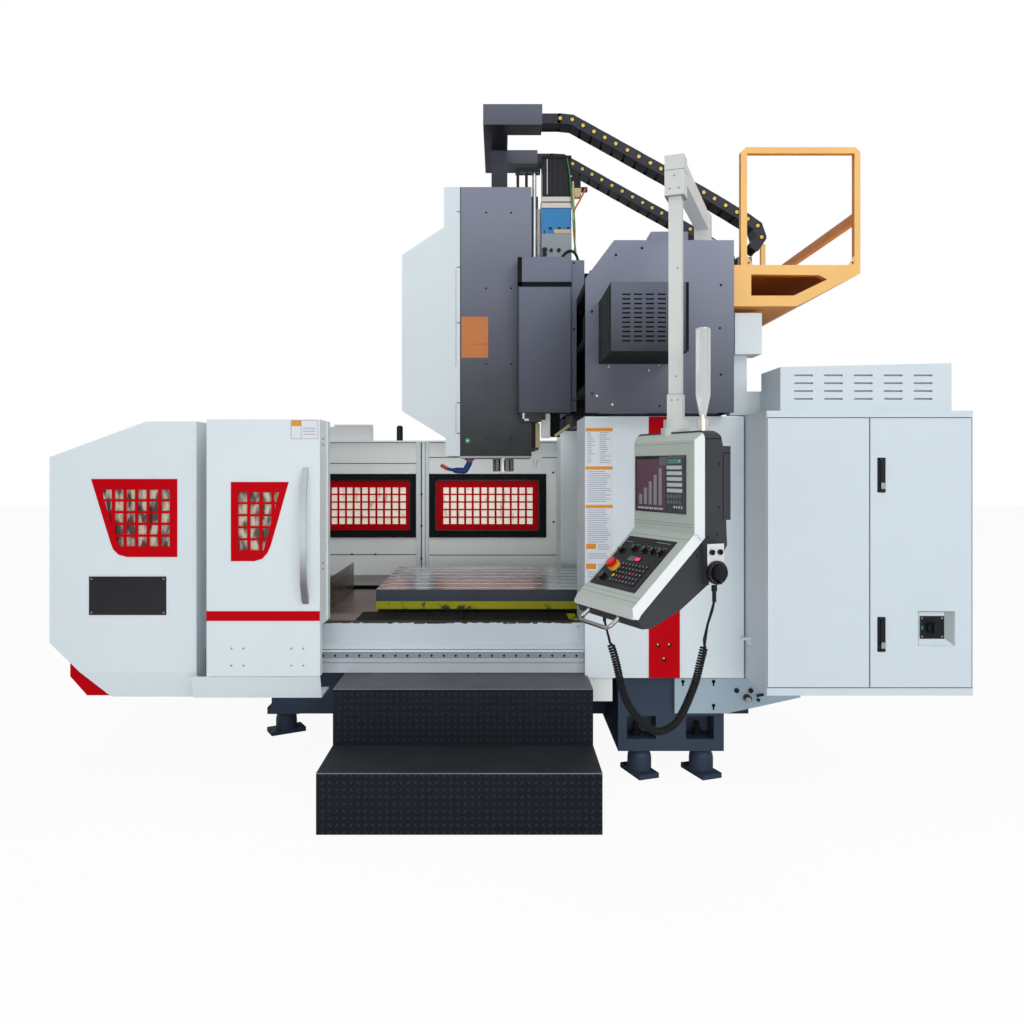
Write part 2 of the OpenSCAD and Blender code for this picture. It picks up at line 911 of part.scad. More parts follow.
module emergency_stop() placed() color("#d01818") {
  on_keys()
    translate([-100, -9, -210])
      rotate([90, 0, 0]) {
        cylinder(h = 20, r = 12);
        translate([0, 0, 13])
          cylinder(h = 14, r = 21);
      }
}

module handwheel_box() placed() color("#dedede") {
  in_head()
    difference() {
      union() {
        slab_yz([[-64, 1269], [11, 1269], [11, 1206], [4, 1120], [-56, 1120],
                 [-64, 1206]],
                [half_p - 4, half_p + 36]);
        for (y = [-46, -10])
          translate([half_p + 35, y, 1239])
            rotate([0, 90, 0])
              cylinder(h = 11, r = 10);
      }
      translate([half_p + 30, -27, 1165])
        rotate([0, 90, 0])
          cylinder(h = 10, r = 8.05);
    }
}

module handwheel_dial() placed() color("#1a1d20") {
  in_head()
    translate([half_p + 30, -27, 1165])
      rotate([0, 90, 0]) {
        cylinder(h = 8, r = 8);
        translate([0, 0, 7])
          cylinder(h = 14, r = 43);
        translate([0, 0, 20])
          cylinder(h = 22, r = 27);
        translate([34, 0, 20])
          cylinder(h = 16, r = 6);
      }
}

module signal_lamp() placed() color("#d8dadc") {
  in_pendant()
    translate([186, -12, 1684]) {
      cylinder(h = 45, r = 22);
      cylinder(h = 70, r = 12);
      translate([0, 0, 60])
        cylinder(h = 72, r1 = 13, r2 = 27);
      translate([0, 0, 131])
        cylinder(h = 251, r = 27);
    }
}

module cord_ends() placed() color("#131518") {
  rod_z(782.2, -2105, [1096, 1119.95], 10.5);
  rod_z(782.2, -2105, [1056, 1097], 7.5);
  rod_z(402.7, -1936.2, [955, 972.95], 6.5);
  hose_run([[782.2, -2105, 1058], [759, -2097, 968], [751.9, -2085.5, 895.4]], 4.5);
  hose_run([[422.6, -1943.1, 874.2], [413, -1938, 915], [403, -1936, 957]], 4.5);
}

module cord_coil() placed() color("#131518") {
  r = 16;
  n = 10;
  last = len(cord_path) - 1;
  tangent = [for (i = [0:last]) let (d = cord_path[min(i + 1, last)] - cord_path[max(i - 1, 0)])
    d / norm(d)];
  rings = [for (i = [0:last]) let (t = tangent[i], s = cross([0, 1, 0], t), q = s / norm(s))
    for (a = [0:n - 1]) let (w = a * 360 / n)
      cord_path[i] + r * (cos(w) * q + sin(w) * cross(t, q))];
  sides = [for (i = [0:last - 1]) for (a = [0:n - 1]) let (b = (a + 1) % n)
    [i * n + a, i * n + b, (i + 1) * n + b, (i + 1) * n + a]];
  ends = [[for (a = [n - 1:-1:0]) a], [for (a = [0:n - 1]) last * n + a]];
  polyhedron(points = rings, faces = concat(sides, ends), convexity = 4);
}

bed();
levelling_feet();
bed_ways();
columns();
crossbeam();
beam_ways();
beam_end_covers();
beam_motor_cover();
column_guards();
stripe_panel();
left_guard();
guard_windows();
window_frames();
name_plate();
back_guard();
front_sill();
door_rail();
chip_tray();
tray_mat();
cabinet_body();
cabinet_vent_box();
steps();
platform();
rear_guard();
rear_pan();
cabinet_door_left();
cabinet_door_right();
cabinet_latch_upper();
cabinet_latch_lower();
switch_knob();
table();
table_apron();
way_cover_1();
way_cover_2();
way_cover_3();
way_cover_4();
saddle();
z_drive();
ram();
ram_cover();
chain_brackets();
energy_chain_near();
energy_chain_far();
spindle_nose();
coolant_hose();
door_leaf();
door_window();
door_handle();
pendant_arm();
pendant_front();
pendant_back();
pendant_screen();
pendant_keypad();
pendant_handle();
emergency_stop();
handwheel_box();
handwheel_dial();
signal_lamp();
cord_ends();
cord_coil();
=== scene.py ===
"""Looks of the double-column milling machine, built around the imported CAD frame."""
import math
import random

import bmesh
import bpy
from mathutils import Matrix, Vector


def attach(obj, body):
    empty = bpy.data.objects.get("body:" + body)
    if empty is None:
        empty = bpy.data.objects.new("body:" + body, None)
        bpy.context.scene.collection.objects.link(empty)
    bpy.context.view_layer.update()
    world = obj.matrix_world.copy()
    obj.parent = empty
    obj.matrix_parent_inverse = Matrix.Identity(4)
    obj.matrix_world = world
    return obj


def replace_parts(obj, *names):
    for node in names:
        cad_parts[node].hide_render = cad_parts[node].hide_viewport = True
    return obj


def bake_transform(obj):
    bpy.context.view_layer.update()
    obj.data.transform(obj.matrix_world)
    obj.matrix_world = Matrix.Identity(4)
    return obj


random.seed(7)
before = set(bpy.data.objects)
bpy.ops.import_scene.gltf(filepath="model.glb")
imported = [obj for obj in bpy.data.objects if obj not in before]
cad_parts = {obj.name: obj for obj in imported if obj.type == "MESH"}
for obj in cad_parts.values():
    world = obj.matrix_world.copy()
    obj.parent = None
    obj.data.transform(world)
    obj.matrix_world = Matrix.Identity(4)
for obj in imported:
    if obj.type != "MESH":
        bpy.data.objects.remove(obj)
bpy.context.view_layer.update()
SHIFT = Vector((12.0, 533.3, 0.0))
BASE = "machine_base"


def at(x, y, z):
    """A point of the machine, in millimetres, as a point of the frame in metres."""
    return (Vector((x, y, z)) + SHIFT) * 0.001


# ---------------------------------------------------------------- materials


class Graph:
    """Short names for building a material's nodes."""

    def __init__(self, name):
        self.mat = bpy.data.materials.new(name)
        self.mat.use_nodes = True
        self.nodes = self.mat.node_tree.nodes
        self.links = self.mat.node_tree.links
        self.shader = self.nodes["Principled BSDF"]
        self.coord = self.nodes.new("ShaderNodeTexCoord").outputs["Object"]

    def put(self, socket, value):
        if isinstance(value, bpy.types.NodeSocket):
            self.links.new(value, socket)
        else:
            socket.default_value = value

    def math(self, kind, a, b=0.0, clamp=False):
        n = self.nodes.new("ShaderNodeMath")
        n.operation = kind
        n.use_clamp = clamp
        self.put(n.inputs[0], a)
        self.put(n.inputs[1], b)
        return n.outputs[0]

    def noise(self, scale, detail=3.0, stretch=(1, 1, 1)):
        m = self.nodes.new("ShaderNodeMapping")
        m.inputs["Scale"].default_value = stretch
        self.put(m.inputs["Vector"], self.coord)
        n = self.nodes.new("ShaderNodeTexNoise")
        n.inputs["Scale"].default_value = scale
        n.inputs["Detail"].default_value = detail
        self.put(n.inputs["Vector"], m.outputs[0])
        return n.outputs["Fac"]

    def between(self, factor, low, high, from_low=0.0, from_high=1.0):
        n = self.nodes.new("ShaderNodeMapRange")
        self.put(n.inputs["Value"], factor)
        n.inputs["From Min"].default_value = from_low
        n.inputs["From Max"].default_value = from_high
        n.inputs["To Min"].default_value = low
        n.inputs["To Max"].default_value = high
        return n.outputs[0]

    def mix(self, factor, a, b):
        n = self.nodes.new("ShaderNodeMix")
        n.data_type = "RGBA"
        self.put(n.inputs["Factor"], factor)
        self.put(n.inputs[6], a)
        self.put(n.inputs[7], b)
        return n.outputs[2]

    def gloss(self, scale, detail, low, high):
        """Roughness that wanders between two values."""
        self.put(self.shader.inputs["Roughness"], self.between(self.noise(scale, detail), low, high, 0.3,
                                        0.7))

    def bump(self, height, strength, distance=0.001):
        n = self.nodes.new("ShaderNodeBump")
        n.inputs["Strength"].default_value = strength
        n.inputs["Distance"].default_value = distance
        self.put(n.inputs["Height"], height)
        self.links.new(n.outputs[0], self.shader.inputs["Normal"])


def linear(hex_or_rgb):
    """An sRGB colour, 0 to 255, as linear RGBA."""
    out = []
    for c in hex_or_rgb:
        c /= 255
        out.append(c / 12.92 if c <= 0.04045 else ((c + 0.055) / 1.055) ** 2.4)
    return (*out, 1.0)


def paint(name, rgb, rough=0.4, vary=0.06, grain=0.0, metal=0.0, coat=0.0, spec=0.2):
    """A painted, moulded or metal surface with slight unevenness in colour and gloss."""
    g = Graph(name)
    base = linear(rgb)
    dark = tuple(c * (1 - vary) for c in base[:3]) + (1.0,)
    light = tuple(min(1, c * (1 + vary)) for c in base[:3]) + (1.0,)
    broad = g.noise(1.7, 4.0)
    g.put(g.shader.inputs["Base Color"], g.mix(g.between(broad, 0, 1, 0.3, 0.7), dark, light))
    g.gloss(9.0, 2.0, rough - 0.05, rough + 0.07)
    g.shader.inputs["Metallic"].default_value = metal
    g.shader.inputs["Coat Weight"].default_value = coat
    g.shader.inputs["Specular IOR Level"].default_value = spec
    if grain:
        g.bump(g.noise(420.0, 2.0), grain, 0.0006)
    return g.mat


def graded(name, low, high, z, rough=0.42, vary=0.05, grain=0.3, spec=0.2):
    """Paint that runs from one shade at height z[0] to another at z[1], in machine millimetres; the lower
    shade is darker, as painted shade.
    """
    g = Graph(name)
    sep = g.nodes.new("ShaderNodeSeparateXYZ")
    g.put(sep.inputs[0], g.coord)
    climb = g.between(sep.outputs["Z"], 0, 1, z[0] * 0.001, z[1] * 0.001)
    base = g.mix(climb, linear(low), linear(high))
    shade = g.between(g.noise(1.7, 4.0), 0, vary * 2, 0.3, 0.7)
    g.put(g.shader.inputs["Base Color"], g.mix(shade, base, linear((30, 32, 38))))
    g.gloss(9.0, 2.0, rough - 0.05, rough + 0.07)
    g.shader.inputs["Specular IOR Level"].default_value = spec
    if grain:
        g.bump(g.noise(420.0, 2.0), grain, 0.0006)
    return g.mat


def chequer_plate(name):
    """Black sheet with raised lozenges in alternating directions."""
    g = Graph(name)
    sep = g.nodes.new("ShaderNodeSeparateXYZ")
    g.put(sep.inputs[0], g.coord)
    cell, long, short = 0.03, 0.66, 0.2
    u = g.math("DIVIDE", sep.outputs["X"], cell)
    v = g.math("DIVIDE", g.math("ADD", sep.outputs["Y"], sep.outputs["Z"]), cell)
    parity = g.math("MODULO", g.math("ADD", g.math("ADD", g.math("FLOOR", u), g.math("FLOOR", v)), 1000.0),
                    2.0)
    fu = g.math("SUBTRACT", g.math("FRACT", g.math("ADD", u, 200.0)), 0.5)
    fv = g.math("SUBTRACT", g.math("FRACT", g.math("ADD", v, 200.0)), 0.5)
    flip = g.math("SUBTRACT", g.math("MULTIPLY", parity, 2.0), 1.0)
    fu = g.math("MULTIPLY", fu, flip)
    a = g.math("ABSOLUTE", g.math("ADD", fu, fv))
    b = g.math("ABSOLUTE", g.math("SUBTRACT", fu, fv))
    shape = g.math("SUBTRACT", 1.0, g.math("ADD", g.math("DIVIDE", a, long), g.math("DIVIDE", b, short)))
    raised = g.math("MULTIPLY", shape, 5.0, clamp=True)
    g.put(g.shader.inputs["Base Color"], g.mix(raised, linear((20, 24, 33)), linear((46, 52, 64))))
    g.gloss(5.0, 3.0, 0.42, 0.6)
    g.shader.inputs["Specular IOR Level"].default_value = 0.12
    g.bump(raised, 1.0, 0.0022)
    return g.mat


def milled_steel(name, rgb, rough, stretch, vary=0.12):
    """Ground or milled steel with fine lines one way and oil marks."""
    g = Graph(name)
    base = linear(rgb)
    lines = g.noise(60.0, 3.0, stretch)
    marks = g.noise(3.0, 5.0)
    dark = tuple(c * (1 - vary * 2) for c in base[:3]) + (1.0,)
    g.put(g.shader.inputs["Base Color"], g.mix(g.between(marks, 0, 1, 0.35, 0.65), dark, base))
    g.put(g.shader.inputs["Roughness"], g.between(lines, rough - 0.08, rough + 0.12, 0.3, 0.7))
    g.shader.inputs["Metallic"].default_value = 0.9
    g.bump(lines, 0.2, 0.0004)
    return g.mat


def worn_paint(name, rgb, under, amount):
    """Paint with rubbed patches and chip dust."""
    g = Graph(name)
    spots = g.between(g.noise(14.0, 6.0), 0, 1, 0.62 - amount, 0.66 - amount * 0.5)
    g.put(g.shader.inputs["Base Color"], g.mix(spots, linear(rgb), linear(under)))
    g.gloss(30.0, 3.0, 0.4, 0.7)
    g.shader.inputs["Specular IOR Level"].default_value = 0.2
    return g.mat


def glow(name, rgb, strength):
    g = Graph(name)
    g.shader.inputs["Base Color"].default_value = linear(rgb)
    g.shader.inputs["Roughness"].default_value = 0.4
    g.shader.inputs["Emission Color"].default_value = linear(rgb)
    g.shader.inputs["Emission Strength"].default_value = strength
    return g.mat


def clear_plastic(name):
    g = Graph(name)
    g.shader.inputs["Base Color"].default_value = (0.9, 0.92, 0.9, 1)
    g.shader.inputs["Roughness"].default_value = 0.08
    g.shader.inputs["Transmission Weight"].default_value = 0.55
    g.shader.inputs["IOR"].default_value = 1.35
    return g.mat


WHITE = paint("guard_white", (226, 236, 240), 0.38, 0.015, grain=0.05)
WHITE_CAB = paint("cabinet_white", (213, 224, 230), 0.38, 0.015, grain=0.05)
SILL = paint("sill_white", (203, 212, 220), 0.45, 0.04, grain=0.1)
# a brighter white as painted light: it lifts the back wall inside the guard, the door leaf's right side and
# the sill's low band
WHITE_PAINTED_LIGHT = paint("guard_white_painted_light", (246, 250, 248), 0.4, 0.02, grain=0.05)
MATT = paint("matt_black", (20, 22, 27), 0.7, 0.1)
# the greys of the beam, saddle, brackets, ram and motor box darken towards their lower ends: painted shade
GREY = graded("machine_grey", (82, 86, 97), (150, 156, 174), (1800, 2650))
GREY_SADDLE = graded("saddle_grey", (78, 82, 96), (122, 128, 146), (1850, 2700))
GREY_BRACKET = graded("bracket_grey", (50, 51, 56), (98, 101, 114), (3180, 3560))
GREY_RAM = graded("ram_grey", (29, 33, 30), (142, 146, 164), (1600, 3200))
GREY_MOTOR = graded("motor_box_grey", (50, 54, 60), (104, 110, 126), (2040, 2333))
GREY_DARK = paint("machine_grey_dark", (62, 66, 76), 0.4, 0.06, grain=0.3)
CAST = paint("cast_dark", (52, 64, 82), 0.5, 0.1, grain=0.6)
RED = paint("signal_red", (196, 0, 16), 0.5, 0.03, spec=0.05)
BLACK = paint("plate_black", (22, 23, 26), 0.35, 0.08)
PLATE = paint("name_plate", (30, 26, 30), 0.22, 0.15, coat=0.4)
# near-black for seams and gaps, also laid on faces as painted shade
SEAM_AND_SHADE = paint("seam_and_shade", (14, 15, 17), 0.8, 0.0)
SEAM_SOFT = paint("seam_soft", (150, 157, 163), 0.6, 0.0)
YELLOW = paint("safety_yellow", (244, 192, 114), 0.4, 0.04, spec=0.3)
# darker yellows for the platform's sides and underside: painted shade
YELLOW_SIDE_SHADE = paint("safety_yellow_side_shade", (196, 124, 44), 0.42, 0.05, spec=0.3)
YELLOW_UNDER_SHADE = paint("safety_yellow_under_shade", (236, 152, 66), 0.5, 0.06)
LEMON = worn_paint("apron_yellow", (164, 160, 22), (60, 62, 24), 0.08)
STEEL = milled_steel("ground_steel", (190, 194, 198), 0.3, (1, 18, 18))
TABLE = milled_steel("table_top", (226, 228, 230), 0.2, (1, 30, 30), 0.12)
TABLE_SIDE = paint("table_side", (52, 62, 72), 0.4, 0.12, grain=0.4)
COVER = milled_steel("cover_steel", (128, 118, 110), 0.3, (12, 1, 1), 0.2)
BLUE = paint("drive_blue", (66, 138, 196), 0.35, 0.12, grain=0.3)
MOTOR = paint("motor_black", (34, 36, 42), 0.38, 0.1)
CHROME = paint("chrome", (172, 174, 174), 0.22, 0.1, metal=1.0)
# the door handle darkens towards its foot: painted shade
HANDLE = graded("handle_metal", (126, 122, 128), (206, 212, 214), (1000, 1180), rough=0.2, vary=0.1, grain=0)
SCREW = paint("screw_steel", (150, 152, 156), 0.3, 0.1, metal=0.9)
SCREW_DARK = paint("screw_dark", (30, 32, 38), 0.35, 0.1, metal=0.4)
BRASS = paint("brass", (196, 160, 96), 0.3, 0.1, metal=0.9)
CHAIN = paint("chain_plastic", (50, 52, 62), 0.45, 0.06, grain=0.2)
CHAIN_IN = paint("chain_inner", (16, 17, 20), 0.5, 0.05)
PIN = paint("chain_pin", (226, 196, 96), 0.35, 0.1)
CREAM = paint("pendant_cream", (212, 216, 211), 0.42, 0.02, grain=0.25)
CREAM_FACE = paint("pendant_face", (190, 198, 190), 0.48, 0.03, grain=0.3)
ARM = paint("arm_aluminium", (214, 216, 212), 0.42, 0.02, grain=0.15)
CHARCOAL = paint("pendant_back", (58, 60, 64), 0.5, 0.06, grain=0.6)
KEYPAD = paint("keypad_black", (26, 26, 30), 0.42, 0.06)
KEY = paint("key_dark", (48, 48, 54), 0.4, 0.05)
KEY_RED = paint("key_red", (168, 24, 44), 0.4, 0.05)
KEY_PINK = glow("key_pink", (240, 60, 100), 0.5)
KEY_YELLOW = paint("key_yellow", (206, 190, 40), 0.4, 0.05)
STOP_RED = paint("stop_red", (214, 22, 22), 0.3, 0.03, coat=0.5)
STOP_RING = paint("stop_ring", (226, 176, 46), 0.4, 0.03)
GLASS = paint("screen_glass", (46, 44, 50), 0.14, 0.1, coat=0.8)
PANE_RED = glow("pane_maroon", (84, 48, 62), 0.12)
PANE_GREEN = glow("pane_green", (70, 118, 108), 0.15)
TREAD = chequer_plate("chequer_plate")
MAT = paint("ribbed_mat", (12, 13, 15), 0.7, 0.1, grain=0.4, spec=0.1)
PAN = paint("pan_blue", (166, 186, 198), 0.35, 0.04)
CORD = paint("cord_rubber", (20, 21, 24), 0.5, 0.04)
SHEET = paint("paper_sheet", (226, 230, 236), 0.5, 0.03)
SHEET_LINE = paint("sheet_line", (150, 158, 172), 0.5, 0.03)
ORANGE = paint("label_orange", (232, 150, 50), 0.5, 0.04)
ORANGE_PLATE = paint("orange_plate", (206, 128, 74), 0.45, 0.08)
HOSE_BLUE = paint("hose_blue", (26, 62, 124), 0.35, 0.05)
HOSE_ORANGE = paint("hose_orange", (206, 70, 40), 0.35, 0.05)
GREEN = paint("indicator_green", (34, 150, 90), 0.3, 0.05)
CABLE_GREEN = paint("cable_green", (60, 140, 80), 0.5, 0.05)
CABLE_ORANGE = paint("cable_orange", (214, 110, 60), 0.5, 0.05)
LAMP = clear_plastic("lamp_clear")
BOX_WHITE = paint("box_white", (226, 228, 228), 0.45, 0.02)

# ---------------------------------------------------------------- shapes


def soften(bm, edges, width):
    """Rounds the given edges of a mesh that is being built."""
    bmesh.ops.bevel(bm, geom=edges, offset=width, segments=2, affect="EDGES", clamp_overlap=True)


class Piece:
    """Collects simple solids into one mesh that rides on a body."""

    def __init__(self, name, body, material, smooth=35):
        self.name, self.body, self.material, self.smooth = name, body, material, smooth
        self.bm = bmesh.new()
        self.frame = Matrix.Identity(4)

    def _add(self, verts, faces, bevel=0.0):
        made = [self.bm.verts.new(self.frame @ Vector(v)) for v in verts]
        for f in faces:
            self.bm.faces.new([made[i] for i in f])
        if bevel:
            edges = {e for v in made for e in v.link_edges}
            soften(self.bm, list(edges), bevel)
        return made

    def box(self, x, y, z, bevel=0.0):
        v = [(a, b, c) for a in x for b in y for c in z]
        f = [(0, 1, 3, 2), (4, 6, 7, 5), (0, 4, 5, 1), (2, 3, 7, 6), (0, 2, 6, 4), (1, 5, 7, 3)]
        self._add(v, f, bevel)
        return self

    def prism(self, points, y, plane="xz", bevel=0.0):
        """A flat outline pushed along the axis its plane leaves out."""
        n = len(points)
        place = {"xz": lambda p, w: (p[0], w, p[1]), "yz": lambda p, w: (w, p[0], p[1]),
                 "xy": lambda p, w: (p[0], p[1], w)}[plane]
        v = [place(p, w) for w in y for p in points]
        f = [tuple(range(n)), tuple(range(2 * n - 1, n - 1, -1))]
        f += [(i, i + n, (i + 1) % n + n, (i + 1) % n) for i in range(n)]
        self._add(v, f, bevel)
        return self

    def cyl(self, centre, r, h, axis="z", r2=None, n=24, bevel=0.0):
        """A cylinder or cone from centre, h long, along an axis."""
        r2 = r if r2 is None else r2
        turn = {"z": lambda a, b, c: (a, b, c), "y": lambda a, b, c: (a, c, b), "x": lambda a, b, c: (c, a,
                                        b)}[axis]
        v = []
        for rr, hh in ((r, 0), (r2, h)):
            for i in range(n):
                w = 2 * math.pi * i / n
                p = turn(rr * math.cos(w), rr * math.sin(w), hh)
                v.append(tuple(centre[k] + p[k] for k in range(3)))
        f = [tuple(range(n)), tuple(range(2 * n - 1, n - 1, -1))]
        f += [(i, i + n, (i + 1) % n + n, (i + 1) % n) for i in range(n)]
        made = self._add(v, f)
        if bevel:
            edges = [e for e in {e for m in made for e in m.link_edges}
                     if len({made.index(q) // n for q in e.verts}) == 1]
            soften(self.bm, edges, bevel)
        return self

    def tube(self, path, r, n=12):
        """A round tube along a path of points."""
        pts = [Vector(p) for p in path]
        rings = []
        up = Vector((0, 0, 1))
        for i, p in enumerate(pts):
            t = (pts[min(i + 1, len(pts) - 1)] - pts[max(i - 1, 0)]).normalized()
            side = t.cross(up)
            if side.length < 0.05:
                side = t.cross(Vector((0, 1, 0)))
            side.normalize()
            up = side.cross(t).normalized()
            rings.append([p + r * (math.cos(2 * math.pi * k / n) * side + math.sin(2 * math.pi * k / n) * up)
                          for k in range(n)])
        v = [q for ring in rings for q in ring]
        f = [(i * n + k, i * n + (k + 1) % n, (i + 1) * n + (k + 1) % n, (i + 1) * n + k)
             for i in range(len(pts) - 1) for k in range(n)]
        f += [tuple(range(n - 1, -1, -1)), tuple(range((len(pts) - 1) * n, len(pts) * n))]
        self._add(v, f)
        return self

    def done(self):
        bmesh.ops.recalc_face_normals(self.bm, faces=self.bm.faces)
        mesh = bpy.data.meshes.new(self.name)
        self.bm.to_mesh(mesh)
        self.bm.free()
        for v in mesh.vertices:
            v.co = at(*v.co)
        mesh.materials.append(self.material)
        obj = bpy.data.objects.new(self.name, mesh)
        bpy.context.collection.objects.link(obj)
        if self.smooth:
            for p in mesh.polygons:
                p.use_smooth = True
            mesh.set_sharp_from_angle(angle=math.radians(self.smooth))
        if self.body:
            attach(obj, self.body)
        return obj


def smooth_path(points, steps=8):
    """Points of a Catmull-Rom curve through the given ones."""
    p = [Vector(q) for q in points]
    p = [p[0] * 2 - p[1]] + p + [p[-1] * 2 - p[-2]]
    out = []
    for i in range(1, len(p) - 2):
        for k in range(steps):
            t = k / steps
            out.append(0.5 * (2 * p[i] + (p[i + 1] - p[i - 1]) * t
                              + (2 * p[i - 1] - 5 * p[i] + 4 * p[i + 1] - p[i + 2]) * t * t
                              + (3 * p[i] - p[i - 1] - 3 * p[i + 1] + p[i + 2]) * t ** 3))
    return out + [p[-2]]


def node_look(node, material, bevel=0.0):
    """Gives a CAD node its material, and softened edges where it has plain ones."""
    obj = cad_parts[node]
    obj.data.materials.clear()
    obj.data.materials.append(material)
    for p in obj.data.polygons:
        p.material_index = 0
    if bevel:
        flat = obj.modifiers.new("merge", "DECIMATE")
        flat.decimate_type = "DISSOLVE"
        flat.angle_limit = math.radians(1.0)
        b = obj.modifiers.new("bevel", "BEVEL")
        b.width = bevel * 0.001
        b.segments = 2
        b.limit_method = "ANGLE"
        b.angle_limit = math.radians(35)
        b.use_clamp_overlap = True
        obj.modifiers.new("normals", "WEIGHTED_NORMAL").keep_sharp = True
        for p in obj.data.polygons:
            p.use_smooth = True
    return obj


def paint_faces(obj, index, test):
    """Gives faces whose centre and normal pass the test another material."""
    for p in obj.data.polygons:
        c = p.center * 1000 - SHIFT
        if test(c, p.normal):
            p.material_index = index

# ---------------------------------------------------------------- CAD nodes

for names, material, bevel in (
    ("bed levelling_feet", CAST, 3),
    ("bed_ways beam_ways", STEEL, 1),
    ("columns", CAST, 4),
    ("crossbeam", GREY, 4),
    ("beam_end_covers", GREY, 2.5),
    ("beam_motor_cover", GREY_MOTOR, 3),
    ("column_guards", WHITE, 2.5),
    ("stripe_panel", RED, 1),
    ("left_guard", WHITE, 1.5),
    ("guard_windows", RED, 0),
    ("window_frames", SEAM_AND_SHADE, 1),
    ("name_plate", PLATE, 1),
    # the back wall takes the brighter white, painted light inside the guard
    ("back_guard", WHITE_PAINTED_LIGHT, 1.5),
    ("front_sill", SILL, 1.5),
    ("door_rail", SEAM_SOFT, 0.6),
    ("chip_tray", MAT, 1.5),
    ("tray_mat", MAT, 0.8),
    ("cabinet_body", WHITE_CAB, 3),
    ("cabinet_vent_box", WHITE_CAB, 2.5),
    ("steps", TREAD, 3),
    ("platform", YELLOW, 2),
    ("rear_guard", WHITE, 1.5),
    ("rear_pan", PAN, 1.5),
    ("cabinet_door_left cabinet_door_right", WHITE_CAB, 2),
    ("cabinet_latch_upper cabinet_latch_lower", CHROME, 1),
    ("switch_knob", BLACK, 1),
    ("table", TABLE, 0),
    ("table_apron", LEMON, 0.8),
    ("way_cover_1 way_cover_2 way_cover_3 way_cover_4", COVER, 1),
    ("saddle", GREY_SADDLE, 4),
    ("z_drive", GREY_DARK, 2),
    ("ram", GREY_RAM, 4),
    ("ram_cover", WHITE, 2),
    ("chain_brackets", GREY_BRACKET, 2),
    ("spindle_nose", STEEL, 1.5),
    ("coolant_hose", HOSE_BLUE, 0),
    ("door_leaf", WHITE, 2),
    ("door_window", RED, 0.6),
    ("door_handle", HANDLE, 0),
    ("pendant_arm", ARM, 8),
    ("pendant_front", CREAM, 3),
    ("pendant_back", CHARCOAL, 4),
    ("pendant_screen", GLASS, 1.5),
    ("pendant_keypad", KEYPAD, 0.5),
    ("pendant_handle", CHROME, 0),
    ("emergency_stop", STOP_RED, 1),
    ("handwheel_box", CHARCOAL, 2),
    ("handwheel_dial", KEYPAD, 1),
    ("signal_lamp", LAMP, 1.5),
    ("cord_ends", CORD, 0),
):
    for name in names.split():
        node_look(name, material, bevel)

# ---------------------------------------------------------------- energy chains

CHAIN_LINE = [(238, 3517), (395, 3517), (640, 3381), (900, 3236), (1169, 3088), (1398, 2950), (1453, 2911),
              (1477, 2850), (1440, 2793), (1392, 2764)]
PITCH = 67.0


def chain_joints(first):
    """Places of the link joints along the chain's line, PITCH apart, as (x, z) in machine millimetres."""
    line = [Vector((p[0], 0, p[1])) for p in CHAIN_LINE]
    fine = []
    for a, b in zip(line, line[1:]):
        fine += [a.lerp(b, k / 40) for k in range(40)]
    fine.append(line[-1])
    out, last = [fine[first]], fine[first]
    for p in fine[first:]:
        if (p - last).length >= PITCH:
            out.append(p)
            last = p
    return out


def energy_chain(name, y0, y1, first):
    joints = chain_joints(first)
    plates = Piece(name + "_links", None, CHAIN)
    inner = Piece(name + "_bars", None, CHAIN_IN)
    pins = Piece(name + "_pins", None, PIN)
    for i, (a, b) in enumerate(zip(joints, joints[1:])):
        along = (b - a).normalized()
        up = Vector((-along.z, 0, along.x))
        turn = Matrix((along, Vector((0, 1, 0)), up)).transposed().to_4x4()
        place = Matrix.Translation(a) @ turn
        length = (b - a).length
        step = 1.6 if i % 2 else 0
        outline = [(-16, -22), (-9, -28.5), (length + 8, -28.5), (length + 15, -21), (length + 15, 21),
                   (length + 8, 28.5), (-9, 28.5), (-16, 22)]
        for side in (0, 1):
            edge = (y0 + 2 + step, y0 + 9) if side == 0 else (y1 - 9, y1 - 2 - step)
            plates.frame = place
            plates.prism(outline, edge, bevel=1.2)
            face = y0 if side == 0 else y1
            pins.frame = place
            pins.cyl((0, face if side == 0 else face - 4, 0), 10.5, 4, "y", n=16)
            inner.frame = place
            inner.cyl((0, face + 1 if side == 0 else face - 5, 0), 16, 4, "y", n=18)
        inner.box((7, length - 7), (y0 + 8, y1 - 8), (-29, -22), 1)
        inner.box((7, length - 7), (y0 + 8, y1 - 8), (22, 29), 1)
        inner.box((-4, length + 4), (y0 + 10, y1 - 10), (-20, 19))
    plates.frame = inner.frame = Matrix.Identity(4)
    for edge in ((y0 + 2, y0 + 9), (y1 - 9, y1 - 2)):
        plates.box((238, joints[0].x + 4), edge, (3489, 3545), 1.5)
    inner.box((238, joints[0].x), (y0 + 9, y1 - 9), (3495, 3539))
    made = [plates.done(), inner.done(), pins.done()]
    for obj in made:
        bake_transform(obj)
    return made


for side, (low, high, first) in {"near": (-450, -322, 26), "far": (150, 278, 24)}.items():
    for piece in energy_chain("energy_chain_" + side, low, high, first):
        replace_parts(piece, "energy_chain_" + side)

# ---------------------------------------------------------------- guard, door, sill


def screw_heads(name, body, places, r=7, h=4, axis="y", material=None, sign=-1):
    """Domed screw heads standing on a face at the given places; sign is the way the face looks."""
    heads = Piece(name, body, material or SCREW)
    k = "xyz".index(axis)
    for p in places:
        q = list(p)
        if sign < 0:
            q[k] -= h
        heads.cyl(q, r if sign > 0 else r * 0.75, h, axis, r * 0.75 if sign > 0 else r, 14)
    return heads.done()


